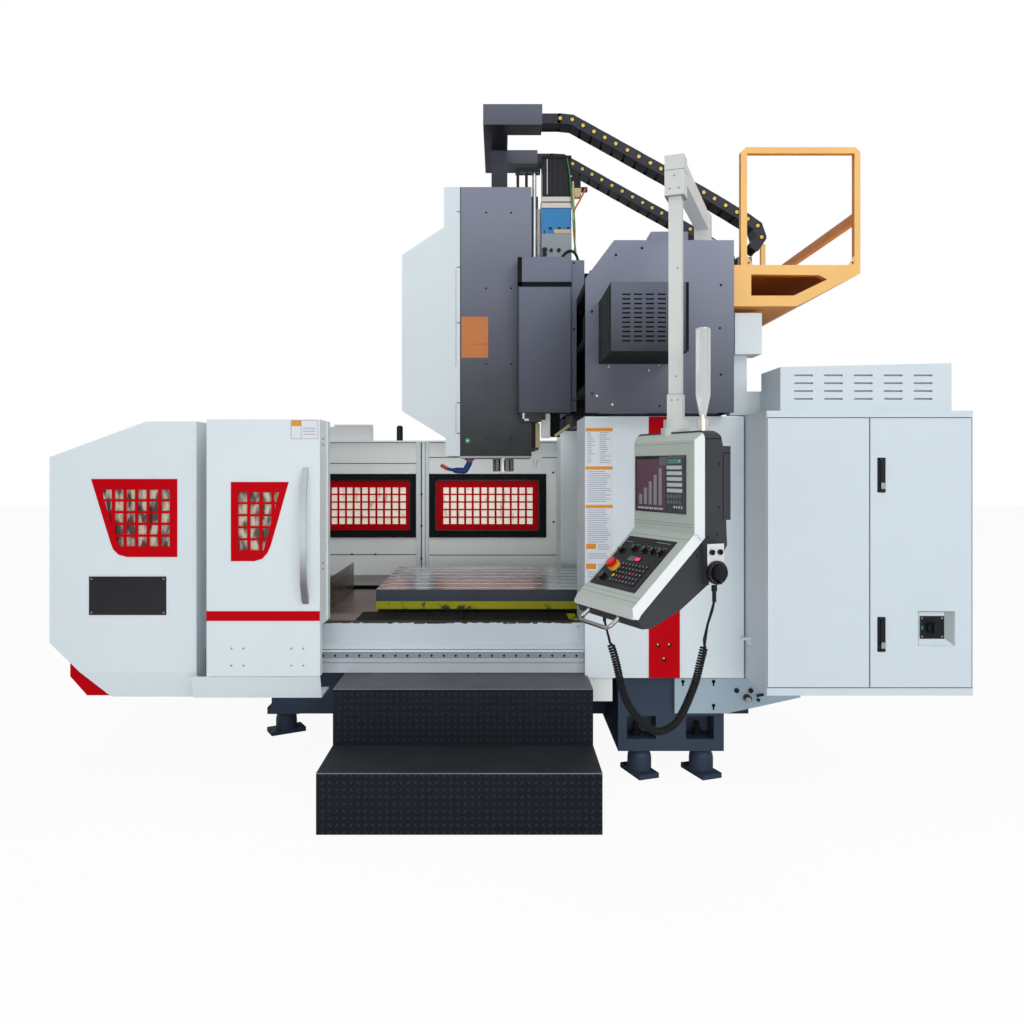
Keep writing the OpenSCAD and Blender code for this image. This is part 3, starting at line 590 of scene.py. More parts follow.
def strips(name, body, material, boxes, bevel=0.0, place=None):
    """Several plain boxes of one material as one piece, in the machine's frame or in another."""
    piece = Piece(name, body, material)
    if place:
        piece.frame = place
    for x, y, z in boxes:
        piece.box(x, y, z, bevel)
    return piece.done()


def face_look(node, material, test):
    """Gives the faces of a CAD node that pass the test another material."""
    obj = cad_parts[node]
    obj.data.materials.append(material)
    paint_faces(obj, len(obj.data.materials) - 1, test)


INK = paint("label_ink", (124, 130, 140), 0.5)


def misted(name, light, dark, low, high, lit):
    """A clear sheet with what lies behind it as soft pale and dark patches; lit sets the strength of a
    painted glow.
    """
    g = Graph(name)
    patches = g.between(g.noise(9.0, 4.0, (2.6, 1, 0.8)), 0, 1, low, high)
    colour = g.mix(patches, linear(dark), linear(light))
    g.put(g.shader.inputs["Base Color"], colour)
    g.put(g.shader.inputs["Emission Color"], colour)
    g.shader.inputs["Emission Strength"].default_value = lit
    g.shader.inputs["Roughness"].default_value = 0.35
    return g.mat


PANE = misted("window_pane", (214, 204, 180), (62, 56, 52), 0.44, 0.56, 0.0)
# the back panes get a painted glow for daylight from outside
MIST_GLOW = misted("misted_pane_glow", (238, 232, 216), (176, 150, 126), 0.3, 0.42, 0.35)
GAP = paint("panel_gap", (96, 102, 104), 0.7)

strips("door_label", "door", SHEET, [((-989, -862), (-1201.5, -1200), (1683, 1771))])
strips("door_label_band", "door", ORANGE, [((-987, -942), (-1202, -1201), (1744, 1769))])
strips("door_label_lines", "door", INK,
       [((-989, -862), (-1202, -1201), (z, z + 1.6)) for z in (1682.5, 1770)]
       + [((x, x + 1.6), (-1202, -1201), (1682.5, 1771.5)) for x in (-990, -942, -863)]
       + [((-932, -874), (-1202, -1201), (z, z + 2.5)) for z in (1732, 1718, 1704)])
screw_heads("door_plate_screws", "door", [(x, -1200, z) for c in (-1244, -960) for x in (c - 28, c + 28)
                                          for z in (609, 690)], 5, 2.5)
screw_heads("door_edge_screws", "door", [(-853, -1131, z) for z in (1685, 1658, 1087, 1058)], 6, 2, "x",
            SCREW_DARK, 1)
strips("door_return", "door", WHITE, [((-853, -846), (-1052, -996), (800, 1773))], 1.5)
strips("door_shadow_gap", BASE, GAP,
       [((-1466, -1391), (-1003, -1000), (z, z + 4)) for z in (640, 560)])

# the back wall's seams, post channel and bolts
strips("back_wall_seams", BASE, GAP,
       [((-1460, -628), (1103.6, 1105), (z, z + 6)) for z in (1733, 1576, 893)]
       + [((-530, 500), (1103.6, 1105), (z, z + 6)) for z in (1733, 1621, 889)]
       + [((505, 508), (1103.6, 1105), (770, 1733))])
strips("back_post_channel", BASE, GAP,
       [((-593, -583), (1091.5, 1093), (762, 1737)), ((-562, -558), (1092, 1093), (762, 1737))])
strips("back_post_edges", BASE, WHITE,
       [((-626, -600), (1083, 1093), (762, 1738)), ((-552, -532), (1083, 1093), (762, 1738))], 2)
screw_heads("back_post_bolts", BASE, [(-588, 1092, z) for z in (1350, 1111, 868)], 9, 6,
            material=SCREW_DARK)
screw_heads("back_wall_bolts", BASE,
            [(398, 1105, 1510), (402, 1105, 1141), (455, 1105, 1325)]
            + [(553, 1065, z) for z in (1649, 1244, 837)]
            + [(x, 1105, 898) for x in (-1110, -935)], 8, 5, material=SCREW_DARK)
screw_heads("window_frame_screws", BASE,
            [(x, 1093, z) for x in (-1225, -1040, -855, -664) for z in (1480, 1042)]
            + [(x, 1093, z) for x in (-505, -330, -148, 32, 180, 318) for z in (1480, 1042)]
            + [(x, 1093, z) for x in (-508, 322) for z in (1180, 1345)], 6, 2.5, material=SCREW_DARK)
# black lips inside the window frames: gaskets, widened with painted shadow along the frames' inner edges
strips("back_window_lips_and_shadow", BASE, BLACK,
       [((-487, -477), (1090, 1102), (1073, 1458)), ((287, 297), (1090, 1102), (1073, 1458)),
        ((-487, 297), (1090, 1102), (1073, 1080)), ((-487, 297), (1090, 1102), (1449, 1458)),
        ((-678, -668), (1090, 1102), (1073, 1458)), ((-1420, -668), (1090, 1102), (1073, 1080)),
        ((-1420, -668), (1090, 1102), (1449, 1458))])

# panes behind the grids of the door and the left end
strips("left_pane", BASE, PANE, [((-1940, -1560), (-1108, -1104), (1125, 1480))])
strips("door_pane", "door", PANE, [((-1265, -1025), (-1188, -1184), (1110, 1470))])
screw_heads("name_plate_screws", BASE, [(x, -1123, z) for x in (-1973, -1624) for z in (847, 1009)], 5, 2.5)

# sill: seams, bolts, the rail's holes and its grip strips
strips("sill_lines", BASE, GAP,
       [((-1455, 418), (-982, -981), (z, z + 2.5)) for z in (636, 570)])
screw_heads("sill_bolts", BASE, [(395, -941, 745), (-1300, -941, 745)], 7, 3)
screw_heads("rail_holes", BASE, [(-1420 + i * 60, -1000.6, 611) for i in range(31)], 7, 0.8,
            material=SEAM_AND_SHADE)
strips("sill_grip", BASE, WHITE, [((-1455, 418), (-989, -981), (588, 596)), ((-1455, 418), (-989, -981),
                                        (626, 634))], 1.5)

# oil unit and its cap on the back of the wall; the door's thick edge and the sill's low band get a brighter
# white as painted light
strips("oil_unit", BASE, BOX_WHITE, [((-1310, -960), (1126, 1176), (1690, 1855)),
                                               ((-1250, -960), (1126, 1170), (1855, 1872))], 4)
Piece("oil_cap", BASE, BLACK).cyl((-757, 1150, 1700), 24, 165, n=20, bevel=8).done()
face_look("door_leaf", WHITE_PAINTED_LIGHT, lambda c, n: n.x > 0.9)
face_look("front_sill", WHITE_PAINTED_LIGHT, lambda c, n: c.z < 600)

# sheets of clear plastic, misted, with a painted glow for the daylight from outside, behind the grids
strips("back_panes", BASE, MIST_GLOW,
       [((-1440, -640), (1112, 1116), (1050, 1480)), ((-500, 310), (1112, 1116), (1050, 1480))])

# ---------------------------------------------------------------- beam, saddle, drive and ram

TAN = paint("bracket_tan", (206, 188, 150), 0.5, 0.05)
FLANGE = milled_steel("flange_silver", (196, 192, 184), 0.34, (1, 1, 16))
NOSE = paint("nose_polished", (186, 186, 180), 0.25, 0.1, metal=0.35)
LIP = paint("ram_lip", (176, 182, 180), 0.4, 0.05)


# the crossbeam's left faces, the beam's ways up to x 640 and the end covers' inner faces are painted
# near-black: painted shade
face_look("crossbeam", SEAM_AND_SHADE, lambda c, n: n.x < -0.9)
face_look("beam_ways", SEAM_AND_SHADE, lambda c, n: c.x < 640)
face_look("beam_end_covers", SEAM_AND_SHADE, lambda c,
          n: abs(c.y) < 1175 and n.z < 0.9 and abs(n.y) < 0.9 and c.x < 1103)
# the motor box's underside, its left side and its right side further back are painted black: painted shade
face_look("beam_motor_cover", MATT, lambda c, n: n.z < -0.2 or n.x < -0.2 or c.y > -1600 and n.x > 0.9)
DRIVE_GREY = paint("drive_grey", (152, 160, 168), 0.42, 0.05)
face_look("z_drive", DRIVE_GREY, lambda c, n: c.z < 2904 and c.x > 240 and n.z > -0.9)
face_look("z_drive", BLUE, lambda c, n: 2904 < c.z < 3055 and c.x > 218)
face_look("z_drive", FLANGE, lambda c, n: 3056 < c.z < 3121 and c.x > 218)
face_look("z_drive", MOTOR, lambda c, n: c.z > 3121 and c.x > 218)
face_look("z_drive", CHROME, lambda c, n: c.x < 218)
face_look("ram", CHROME, lambda c, n: abs(c.x - 200) < 13.5 and abs(c.y + 286) < 13.5 and c.z < 3262)
face_look("spindle_nose", NOSE, lambda c, n: c.z < 1600)
# the saddle's faces right of x 401, apart from its front, and its underside are painted near-black: painted
# shade
face_look("saddle", SEAM_AND_SHADE, lambda c,
          n: c.x > 401 and (abs(n.y) < 0.9 or c.y > -400) or c.z < 1857 and n.z < -0.9)
# the chain brackets' undersides are painted black: painted shade
face_look("chain_brackets", BLACK, lambda c, n: n.z < -0.9)
face_look("ram", BLACK, lambda c, n: c.z > 3177 and (abs(c.x - 200) > 13.5 or c.z > 3262))

# saddle front: upper cover plate, the dark gap round it, the side plate and the seams
strips("saddle_gap", "saddle_unit", SEAM_AND_SHADE,
       [((99, 124), (-431, -430), (2572, 2739)), ((102, 406), (-431, -430), (2572, 2597)),
        ((100, 103), (-431.2, -430), (1858, 2572))])
strips("saddle_upper_plate", "saddle_unit", GREY_SADDLE, [((124, 404), (-437, -430), (2597, 2739))], 2)
strips("saddle_lower_plate", "saddle_unit", GREY_SADDLE, [((106, 402), (-434, -430), (1858, 2570))], 2)
Piece("saddle_side_plate", "saddle_unit", GREY_SADDLE).prism(
    [(403, 2725), (479, 2725), (479, 2506), (434, 2506), (434, 1865), (403, 1865)],
    (-417, -411), bevel=1).done()
strips("saddle_shadow_plates", "saddle_unit", SEAM_AND_SHADE,
       [((401, 433), (388, 396), (1872, 2718)), ((434, 477), (388, 396), (1975, 2168)),
        ((434, 477), (388, 396), (2264, 2456))])
screw_heads("saddle_screws", "saddle_unit",
            [(420, -417, z) for z in (2708, 2334, 1928)],
            6, 2, material=SCREW_DARK)

# Z drive: bolts, sockets, plate, motor ribs, cables
Piece("drive_bolts", "saddle_unit", BLACK).cyl((258, -334, 2806), 15, 16, "y").cyl((258, -326, 2780), 13, 8,
                                        "y") \
    .cyl((297, -327, 2806), 10, 9, "y").cyl((341, -327, 2806), 11, 9, "y").done()
strips("drive_sockets", "saddle_unit", BLACK,
       [((x, x + 17), (-306, -303), (2930, 2944)) for x in (284, 336, 388)]
       + [((256, 262), (-306, -303), (2908, 2924))], 1)
strips("drive_plate", "saddle_unit", TAN, [((313, 411), (-312, -303), (2906, 2930))], 2)
strips("drive_flange_line", "saddle_unit", SCREW_DARK, [((243, 418), (-309, -308), (3086, 3092))])
strips("motor_ribs", "saddle_unit", MOTOR,
       [((x, x + 12), (-306, -300), (3132, 3350)) for x in (252, 284, 306, 336, 368, 396)], 2)
# a silver strip down the black motor: a painted highlight
strips("motor_highlight_strip", "saddle_unit", FLANGE, [((272, 277), (-304, -300), (3136, 3340))])
strips("motor_cap", "saddle_unit", BLACK, [((244, 416), (-306, -134), (3340, 3362))], 3)
Piece("drive_cable_green", "saddle_unit", CABLE_GREEN).tube(
    smooth_path([(388, -316, 3342), (404, -322, 3240), (413, -326, 3120), (430, -328, 3000), (434, -326,
                                        2890),
                 (430, -322, 2790)]), 3.6).done()
Piece("drive_cable_orange", "saddle_unit", CABLE_ORANGE).tube(
    smooth_path([(498, -320, 3167), (463, -320, 3097), (429, -320, 3028), (426, -320, 2923), (440, -320,
                                        2784)]),
    5).done()
Piece("drive_cable_tan", "saddle_unit", TAN).tube(
    smooth_path([(424, -300, 3210), (424, -310, 3160), (426, -318, 3080), (424, -322, 2980)]), 7).done()
Piece("drive_cable_black", "saddle_unit", CORD).tube(
    smooth_path([(356, -324, 2760), (384, -326, 2792), (414, -326, 2800), (440, -324, 2778), (452, -322,
                                        2744)]),
    8).done()
strips("drive_connectors", "saddle_unit", BLACK,
       [((413, 470), (-300, -262), (3173, 3243)), ((470, 510), (-296, -266), (3156, 3182))], 3)
strips("drive_connector_panel", "saddle_unit", TAN, [((413, 472), (-302, -262), (3120, 3174))], 3)
Piece("balance_hose", "saddle_unit", BOX_WHITE).cyl((226, -240, 2740), 13, 327, n=20).done()

# ram: plate, indicator, lip, seams and screws; trim on its cover
strips("ram_plate", "ram_unit", ORANGE_PLATE, [((-224, -69), (-310.5, -309), (2185, 2423))])
strips("ram_plate_line", "ram_unit", CABLE_ORANGE, [((-152, -72), (-310.9, -310.5), (2258, 2268))])
strips("ram_lip", "ram_unit", LIP, [((-232, 183), (-309.8, -309), (1603, 1614))])
Piece("ram_indicator", "ram_unit", GREEN).cyl((-188, -313, 1704), 15, 4, "y").done()
Piece("ram_indicator_ring", "ram_unit", BOX_WHITE).cyl((-188, -314, 1704), 6, 5, "y").done()
screw_heads("ram_screws", "ram_unit", [(x, -309, z) for x in (-80, 65) for z in (3027, 2588, 2149, 1711)], 6,
            2,
            material=SCREW_DARK)
strips("ram_seam", "ram_unit", SEAM_AND_SHADE, [((-232, -228), (-309.7, -309), (1606, 3174))])
strips("cover_clips", "ram_unit", SCREW_DARK, [((-250, -234), (-310.5, -309), (z, z + 5))
                                               for z in (3030, 2708, 2385, 1921, 1744)])
strips("cover_seam", "ram_unit", SEAM_SOFT, [((-257, -254), (-309.6, -309), (2135, 2700)),
                                             ((-257, -254), (-309.6, -309), (1745, 1918))])

# probe, sensor bracket and the small parts under the saddle
Piece("probe_body", "ram_unit", BOX_WHITE).box((177, 245), (-300, -272), (1589, 1611), 2) \
    .cyl((206, -286, 1546), 5, 28, "z", 12).cyl((206, -286, 1574), 13, 16).done()
Piece("ram_scale", "ram_unit", TAN).box((207, 232), (-297, -283), (1660, 1806), 1).done()
strips("ram_scale_foot", "ram_unit", BLACK, [((186, 224), (-300, -280), (1650, 1664))], 1)
strips("sensor_bracket", "saddle_unit", BLACK,
       [((110, 234), (-428, -400), (1806, 1856)), ((234, 258), (-420, -400), (1818, 1856))], 2)
strips("sensor_arm", "saddle_unit", BOX_WHITE, [((127, 139), (-434, -429), (1812, 1856)),
                                                ((127, 163), (-434, -429), (1812, 1824))], 1)
strips("saddle_box", "saddle_unit", BOX_WHITE, [((236, 286), (-395, -340), (1717, 1856))], 3)
strips("saddle_box_shadow", "saddle_unit", SEAM_AND_SHADE, [((288, 343), (-372, -360), (1722, 1856))])
Piece("saddle_rod", "saddle_unit", TAN).tube([(315, -380, 1728), (398, -380, 1789)], 9).done()

# spindle nose: dark bars round the polished end, a painted reflection; hose: beads, its joint and its tip
NOSE_R, REFLECTION_BARS = 64, 12
reflection_bars = Piece("nose_reflection_bars", "spindle", MATT)
for i in range(REFLECTION_BARS):
    w = 2 * math.pi * i / REFLECTION_BARS + 0.15
    reflection_bars.frame = Matrix.Translation((20, 0, 0)) @ Matrix.Rotation(w, 4, "Z")
    reflection_bars.box((NOSE_R - 1, NOSE_R + 0.6), (-5, 5), (1528, 1597))
reflection_bars.done()
beads = Piece("hose_beads", "ram_unit", HOSE_BLUE)
for (ax, az), (bx, bz), r, count in (((-178, 1586), (-178, 1576), 17.5, 1), ((-180, 1572), (-205, 1529), 18,
                                        4),
                                     ((-207, 1529), (-258, 1531), 18, 4)):
    for i in range(count):
        a, b = (i + 0.08) / count, (i + 0.8) / count
        beads.tube([(ax + (bx - ax) * t, -262, az + (bz - az) * t) for t in (a, b)], r, 16)
beads.done()
Piece("hose_joint", "ram_unit", HOSE_ORANGE).tube([(-178, -262, 1602), (-178, -262, 1580)], 18.5, 16).done()
Piece("hose_tip", "ram_unit", HOSE_ORANGE).tube([(-310, -262, 1541.6), (-341, -262, 1558.6)], 11, 16).done()

# beam: small box and screws on the near end cover, edge lines on the motor box
strips("beam_top_box", BASE, GREY, [((720, 900), (-1165, -1050), (2630, 2676))], 4)
screw_heads("beam_cover_screws", BASE,
            [(676, -1180, 2592), (552, -1180, 2559), (1052, -1180, 2416), (1047, -1180, 2211),
             (1052, -1180, 1990), (438, -1180, 2290), (438, -1180, 1900), (760, -1180, 1840)], 6.5, 2.5,
            material=SCREW_DARK)
screw_heads("beam_cover_light_screws", BASE,
            [(x, -1180, z) for x, z in ((707, 2009), (756, 2034), (518, 2027), (461, 1888), (535,
                                        1847))], 7, 2.5)
strips("motor_cover_dark", BASE, SEAM_AND_SHADE, [((480, 780), (-1607, -1604), (2050, 2320))])
strips("motor_cover_edge", BASE, SEAM_AND_SHADE, [((787, 799), (-1622, -1621), (2042, 2331)),
                                                  ((469, 470), (-1600, -1560), (2042, 2331))])

# ---------------------------------------------------------------- operator panel

HEAD = Matrix.Translation((696, -1850, 0)) @ Matrix.Rotation(math.radians(-66), 4,
                                        "Z") @ Matrix.Translation((18, 0, 0))
KEYS = HEAD @ Matrix.Translation((0, -75, 1300)) @ Matrix.Rotation(-math.atan2(269, 255), 4, "X")
FACE_OUT = HEAD.to_3x3() @ Vector((0, -1, 0))
KEYS_OUT = KEYS.to_3x3() @ Vector((0, -1, 0))
HEAD_IN, KEYS_IN = HEAD.inverted(), KEYS.inverted()


def discs(name, body, material, place, spots, y, r, h):
    """Short cylinders that stand out from a panel at the given (x, z) spots."""
    piece = Piece(name, body, material)
    piece.frame = place
    for x, z in spots:
        piece.cyl((x, y - h, z), r, h, "y", n=20, bevel=min(1.2, h * 0.2))
    return piece.done()


GROOVE = paint("panel_groove", (150, 158, 150), 0.6)
BEVEL_HIGHLIGHT = paint("pendant_bevel_highlight", (236, 240, 241), 0.4, 0.01, grain=0.2)
CHART = glow("screen_chart", (128, 132, 134), 0.12)
BAR = glow("screen_bar", (176, 184, 186), 0.16)
DIM = glow("screen_dim", (92, 92, 98), 0.08)
DOT = paint("key_mark", (170, 172, 176), 0.5)
GRIP = paint("grip_chrome", (150, 150, 146), 0.22, 0.15, metal=1.0)
GLOSS = paint("knob_gloss", (16, 16, 19), 0.22, 0.05, coat=0.3)
LAMP_METAL = paint("lamp_metal", (206, 200, 188), 0.25, 0.06, metal=0.7)
ARM_SHADE = paint("arm_seam", (150, 152, 148), 0.6)

face_look("pendant_front", CREAM_FACE, lambda c, n: n.dot(FACE_OUT) > 0.98 or n.dot(KEYS_OUT) > 0.98)
# the front's bevels that face one side are painted whiter: a painted highlight
face_look("pendant_front", BEVEL_HIGHLIGHT, lambda c, n: (HEAD_IN.to_3x3() @ n).x > 0.3 and c.z < 1660)
face_look("pendant_keypad", KEY, lambda c, n: -6.6 < (KEYS_IN @ c).y < -6.4 and n.dot(KEYS_OUT) > 0.9)
face_look("pendant_keypad", GLOSS, lambda c, n: (KEYS_IN @ c).y < -6.6)
face_look("pendant_keypad", STOP_RING, lambda c, n: (KEYS_IN @ c).y < -2.7 and
          ((KEYS_IN @ c).x + 100) ** 2 + ((KEYS_IN @ c).z + 210) ** 2 < 28 ** 2)
face_look("handwheel_box", BOX_WHITE, lambda c,
          n: 260 < (HEAD_IN @ c).x < 261.5 and (HEAD_IN.to_3x3() @ n).x > 0.9)
face_look("handwheel_box", GLOSS, lambda c, n: (HEAD_IN @ c).x > 261.5)
face_look("signal_lamp", LAMP_METAL, lambda c, n: c.z < 1735 or c.z > 2050)

strips("panel_grooves", "pendant", GROOVE,
       [((-197, 197), (-75.3, -74.9), (z, z + 2.2)) for z in (1636, 1333, 1323)], place=HEAD)
strips("panel_low_grooves", "pendant", GROOVE,
       [((-197, 197), (-0.3, 0.1), (z, z + 2.2)) for z in (-30, -326, -346)], place=KEYS)

# picture on the screen: a plain bar chart, blank bars and buttons
strips("screen_field", "pendant", PANE_RED, [((-176, 22), (-78.5, -78), (1378, 1580))], place=HEAD)
strips("screen_chart", "pendant", CHART,
       [((-158 + 34 * k, -138 + 34 * k), (-79, -78.4), (1400, 1440 + 26 * k)) for k in range(5)], place=HEAD)
strips("screen_top_band", "pendant", DIM,
       [((-20, 30), (-78.6, -78), (1556, 1588)), ((34, 140), (-78.6, -78), (1584, 1589))], place=HEAD)
strips("screen_green", "pendant", PANE_GREEN, [((36, 124), (-79, -78), (1562, 1580))], place=HEAD)
strips("screen_bars", "pendant", BAR,
       [((30 + k, 126 + k), (-79, -78), (1540 - 22 * k, 1554 - 22 * k)) for k in range(5)]
       + [((108, 118), (-79.4, -79), (1567, 1575))], place=HEAD)
discs("screen_buttons", "pendant", DIM, HEAD, [(40 + 19 * i,
                                        1436 - 22 * k) for i in range(5) for k in range(2)], -78, 8, 0.8)
strips("screen_foot_marks", "pendant", BAR,
       [((-166 + 16 * i, -156 + 16 * i + 3 * (i % 2)), (-78.8, -78), (1382, 1389)) for i in range(11)]
       + [((74 + 16 * i, 82 + 16 * i), (-78.8, -78), (1392, 1400)) for i in range(4)], place=HEAD)

# keys, marks, knobs
strips("key_pink", "pendant", KEY_PINK, [((-9, 21), (-7.4, -6.5), (-168, -152))], 0.4, place=KEYS)
strips("key_yellow", "pendant", KEY_YELLOW, [((-67, -53), (-7.4, -6.5), (-259, -246))], 0.4, place=KEYS)
strips("key_red", "pendant", KEY_RED,
       [((46, 60), (-7.4, -6.5), (-238, -225)), ((-22, -8), (-7.4, -6.5), (-259, -247))], 0.4, place=KEYS)
strips("key_marks", "pendant", DOT,
       [((-63 + i * 22.6, -57 + i * 22.6 + (i * k) % 3), (-6.9, -6.5), (-274 + k * 21, -271.5 + k * 21))
       for i in range(8) for k in range(5) if (i, k) not in ((0, 1), (5, 2), (2, 1))], place=KEYS)
strips("panel_marks", "pendant", DOT,
       [((x - 10 + 7 * j, x - 7 + 7 * j), (-3.4, -3), (-88, -86)) for x in (-73, -1, 53,
                                        106) for j in range(4)]
       + [((-58 + 8 * j, -53 + 8 * j), (-3.4, -3), (-148, -146)) for j in range(5)]
       + [((-165, -120), (-3.4, -3), (-78, -76)), ((30, 120), (-3.4, -3), (-64, -62))], place=KEYS)
strips("counter_window", "pendant", DIM, [((-62, -20), (-3.6, -3), (-168, -153))], place=KEYS)
strips("knob_pointers", "pendant", DOT,
       [((x - 1.3, x + 1.3), (-18, -17.4), (z + 2, z + 11)) for x, z in
       ((-73, -110), (-1, -110), (53, -110), (106, -110), (-146, -127))], place=KEYS)
discs("knob_skirts", "pendant", GLOSS, KEYS, [(-73, -110), (-1, -110), (53, -110), (106, -110), (-146, -127),
                                        (-122, -266)],
      -3, 17, 3)
discs("stop_rim", "stop_button", STOP_RED, KEYS, [(-100, -210)], -31, 22, 5)
discs("stop_top", "stop_button", STOP_RED, KEYS, [(-100, -210)], -35.8, 15, 2)

# the handle's bent bar with its two feet
bend = [(24 * (1 - math.cos(w)), 37 + 24 * math.sin(w)) for w in (math.pi / 8 * i for i in range(5))]
arc = [(0, -2)] + bend
line = [(-97 + x, d) for x, d in arc] + [(113 - x, d) for x, d in reversed(arc)]
grip = Piece("handle_bar", "pendant", GRIP)
grip.frame = HEAD
grip.tube([(x, -344 - 0.809 * d, 999 - 0.588 * d) for x, d in line], 8, 20)
for x in (-97, 113):
    grip.box((x - 8, x + 8), (-352, -337), (990, 1008), 1.5)
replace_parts(grip.done(), "pendant_handle")

# handwheel box and dial
dial = HEAD @ Matrix.Translation((0, -27, 1165))
marks = Piece("dial_marks", "handwheel", DOT)
marks.frame = dial
for i in range(24):
    w = 2 * math.pi * i / 24
    marks.cyl((275.4, 37 * math.cos(w), 37 * math.sin(w)), 1.2, 0.6, "x", n=8)
marks.cyl((295.6, 8, -6), 5, 3, "x", n=16)
marks.done()
rings = Piece("dial_rings", "handwheel", GLOSS, smooth=40)
rings.frame = dial
rings.cyl((296.4, 0, 0), 20, 2.5, "x", n=28, bevel=1)
rings.cyl((275.4, 0, 0), 31, 4, "x", n=28, bevel=1.5)
rings.done()
strips("handwheel_knob_shades", "pendant", GLOSS,
       [((270, 273), (y - 3, y + 3), (1229, 1249)) for y in (-46, -10)], place=HEAD)
strips("back_lid_lines", "pendant", SEAM_AND_SHADE,
       [((220.4, 221), (-46, 30), (1652, 1655)), ((220.4, 221), (38, 41), (1351, 1600)),
       ((214.4, 215), (36, 79), (1600, 1603))], place=HEAD)
discs("back_side_screws", "pendant", SCREW_DARK, HEAD @ Matrix.Rotation(math.radians(90), 4, "Z"),
      [(y, z) for y, z in ((-30, 1290), (-80, 1222), (12, 1300), (20, 1400), (20, 1560))], -220.5, 4, 1.5)

# lamp: cap and inner streaks
Piece("lamp_cap", "pendant", LAMP_METAL).cyl((760.7, -2024.8, 2064), 24, 6, bevel=2).done()
for i, (dx, tone) in enumerate(((-17, BOX_WHITE), (4, BOX_WHITE), (17, LAMP_METAL))):
    Piece("lamp_streak_%d" % i, "pendant", tone).cyl((760.7 + dx, -2050.3 + abs(dx) * 0.45, 1830), 2.2, 220,
                                        n=8).done()

# arm: seams and screws of the elbow and of the sleeve
ARM_FRAME = Matrix.Translation((984, -1106, 0)) @ Matrix.Rotation(math.atan2(-744, -288), 4, "Z")
REACH = math.hypot(288, 744)
strips("arm_seams", "arm", ARM_SHADE,
       [((REACH - 40.6, REACH + 40.6), (-38.6, 38.6), (z, z + 2.5)) for z in (2612, 2712)]
       + [((REACH - 30.6, REACH + 30.6), (-30.6, 30.6), (1834, 1836))]
       + [((60, REACH - 42), (-30.4, -29.9), (2760, 2763))], place=ARM_FRAME)
SIDEWAYS = Matrix.Rotation(math.radians(90), 4, "Z")
for i, (out, spots) in enumerate(((38, [(-18, 2640), (18, 2640), (0, 2690)]), (28, [(-12, 1812), (12, 1812)]),
                                  (23, [(10, 2330), (4, 1905)]))):
    discs("arm_screws_%d" % i, "arm", SCREW, ARM_FRAME @ SIDEWAYS, spots, -REACH - out, 4, 3.5)

# ---------------------------------------------------------------- table, tray, sill and steps

# dark for the table's slots and the sill's top as painted shade, and for the tray's seam
SLOT_SEAM_SHADE = paint("slot_seam_and_shade", (30, 30, 32), 0.6, 0.1)
TREAD_TOP = paint("tread_worn", (86, 89, 94), 0.5, 0.2, grain=0.8)
TREAD_LOW = paint("tread_low", (38, 41, 46), 0.5, 0.15, grain=0.8)
TRAY_METAL = milled_steel("tray_metal", (140, 134, 132), 0.35, (12, 1, 1), 0.2)
GRIME = paint("sill_grime", (84, 76, 72), 0.7, 0.3)
WORN = paint("worn_edge", (120, 126, 134), 0.45, 0.2)
BAFFLE = paint("vent_baffle", (188, 196, 200), 0.5, 0.02)
SHADE = paint("recess_shade", (158, 166, 168), 0.6, 0.02)

face_look("table", TABLE_SIDE, lambda c, n: n.z < 0.9)
# the faces inside the table's slots are darkened: painted shade
face_look("table", SLOT_SEAM_SHADE, lambda c, n: c.z < 874 and abs(c.y) < 480 and c.z > 830 and abs(n.x) < 0.9)
face_look("steps", TREAD_TOP, lambda c, n: n.z > 0.9 and c.z > 500)
face_look("steps", TREAD_LOW, lambda c, n: n.z > 0.9 and c.z < 300)
face_look("chip_tray", TRAY_METAL, lambda c, n: n.z > 0.9)
# thin chrome strips along the slots' edges: painted highlights
strips("table_slot_highlights", "table_unit", CHROME,
       [((-640, 872), (y - 10, y - 9), (875, 875.6)) for y in (-450, -300, -150, 0, 150, 300, 450)])
strips("apron_scuffs", "table_unit", GAP,
       [((x, x + w), (-502, -501), (z, z + 4)) for x, w, z in
        ((-520, 14, 788), (-300, 8, 794), (-40, 18, 786), (160, 10, 792), (330, 22, 789), (520, 12, 794))])
strips("tray_seams", BASE, SLOT_SEAM_SHADE, [((-1450, -752), (-900, -897), (743, 744.5))])

# sill: rubbed top edge
wear = Piece("sill_wear", BASE, GRIME)
spot = random.Random(4)
for i in range(46):
    x = -1390 + i * 38 + spot.uniform(-14, 14)
    wear.box((x, x + spot.uniform(12, 60)), (-941.6, -940), (763 - spot.uniform(0, 5), 765.9))
wear.box((-1455, 418), (-941.2, -940), (765, 766))
wear.done()

# the sill's top faces are painted dark, as painted shade
face_look("front_sill", SLOT_SEAM_SHADE, lambda c, n: n.z > 0.9 and c.z > 740)
strips("tray_end", BASE, LEMON, [((364, 410), (-880, -565), (743, 746))])

# steps: pale worn nosings
strips("step_nosings", BASE, WORN,
       [((-775, 432), (-1639, -1637), (256, 260.4)), ((-775, 432), (-1284, -1282.6), (517, 520.4))], 0.5)

# ---------------------------------------------------------------- column guard, cabinet, pan

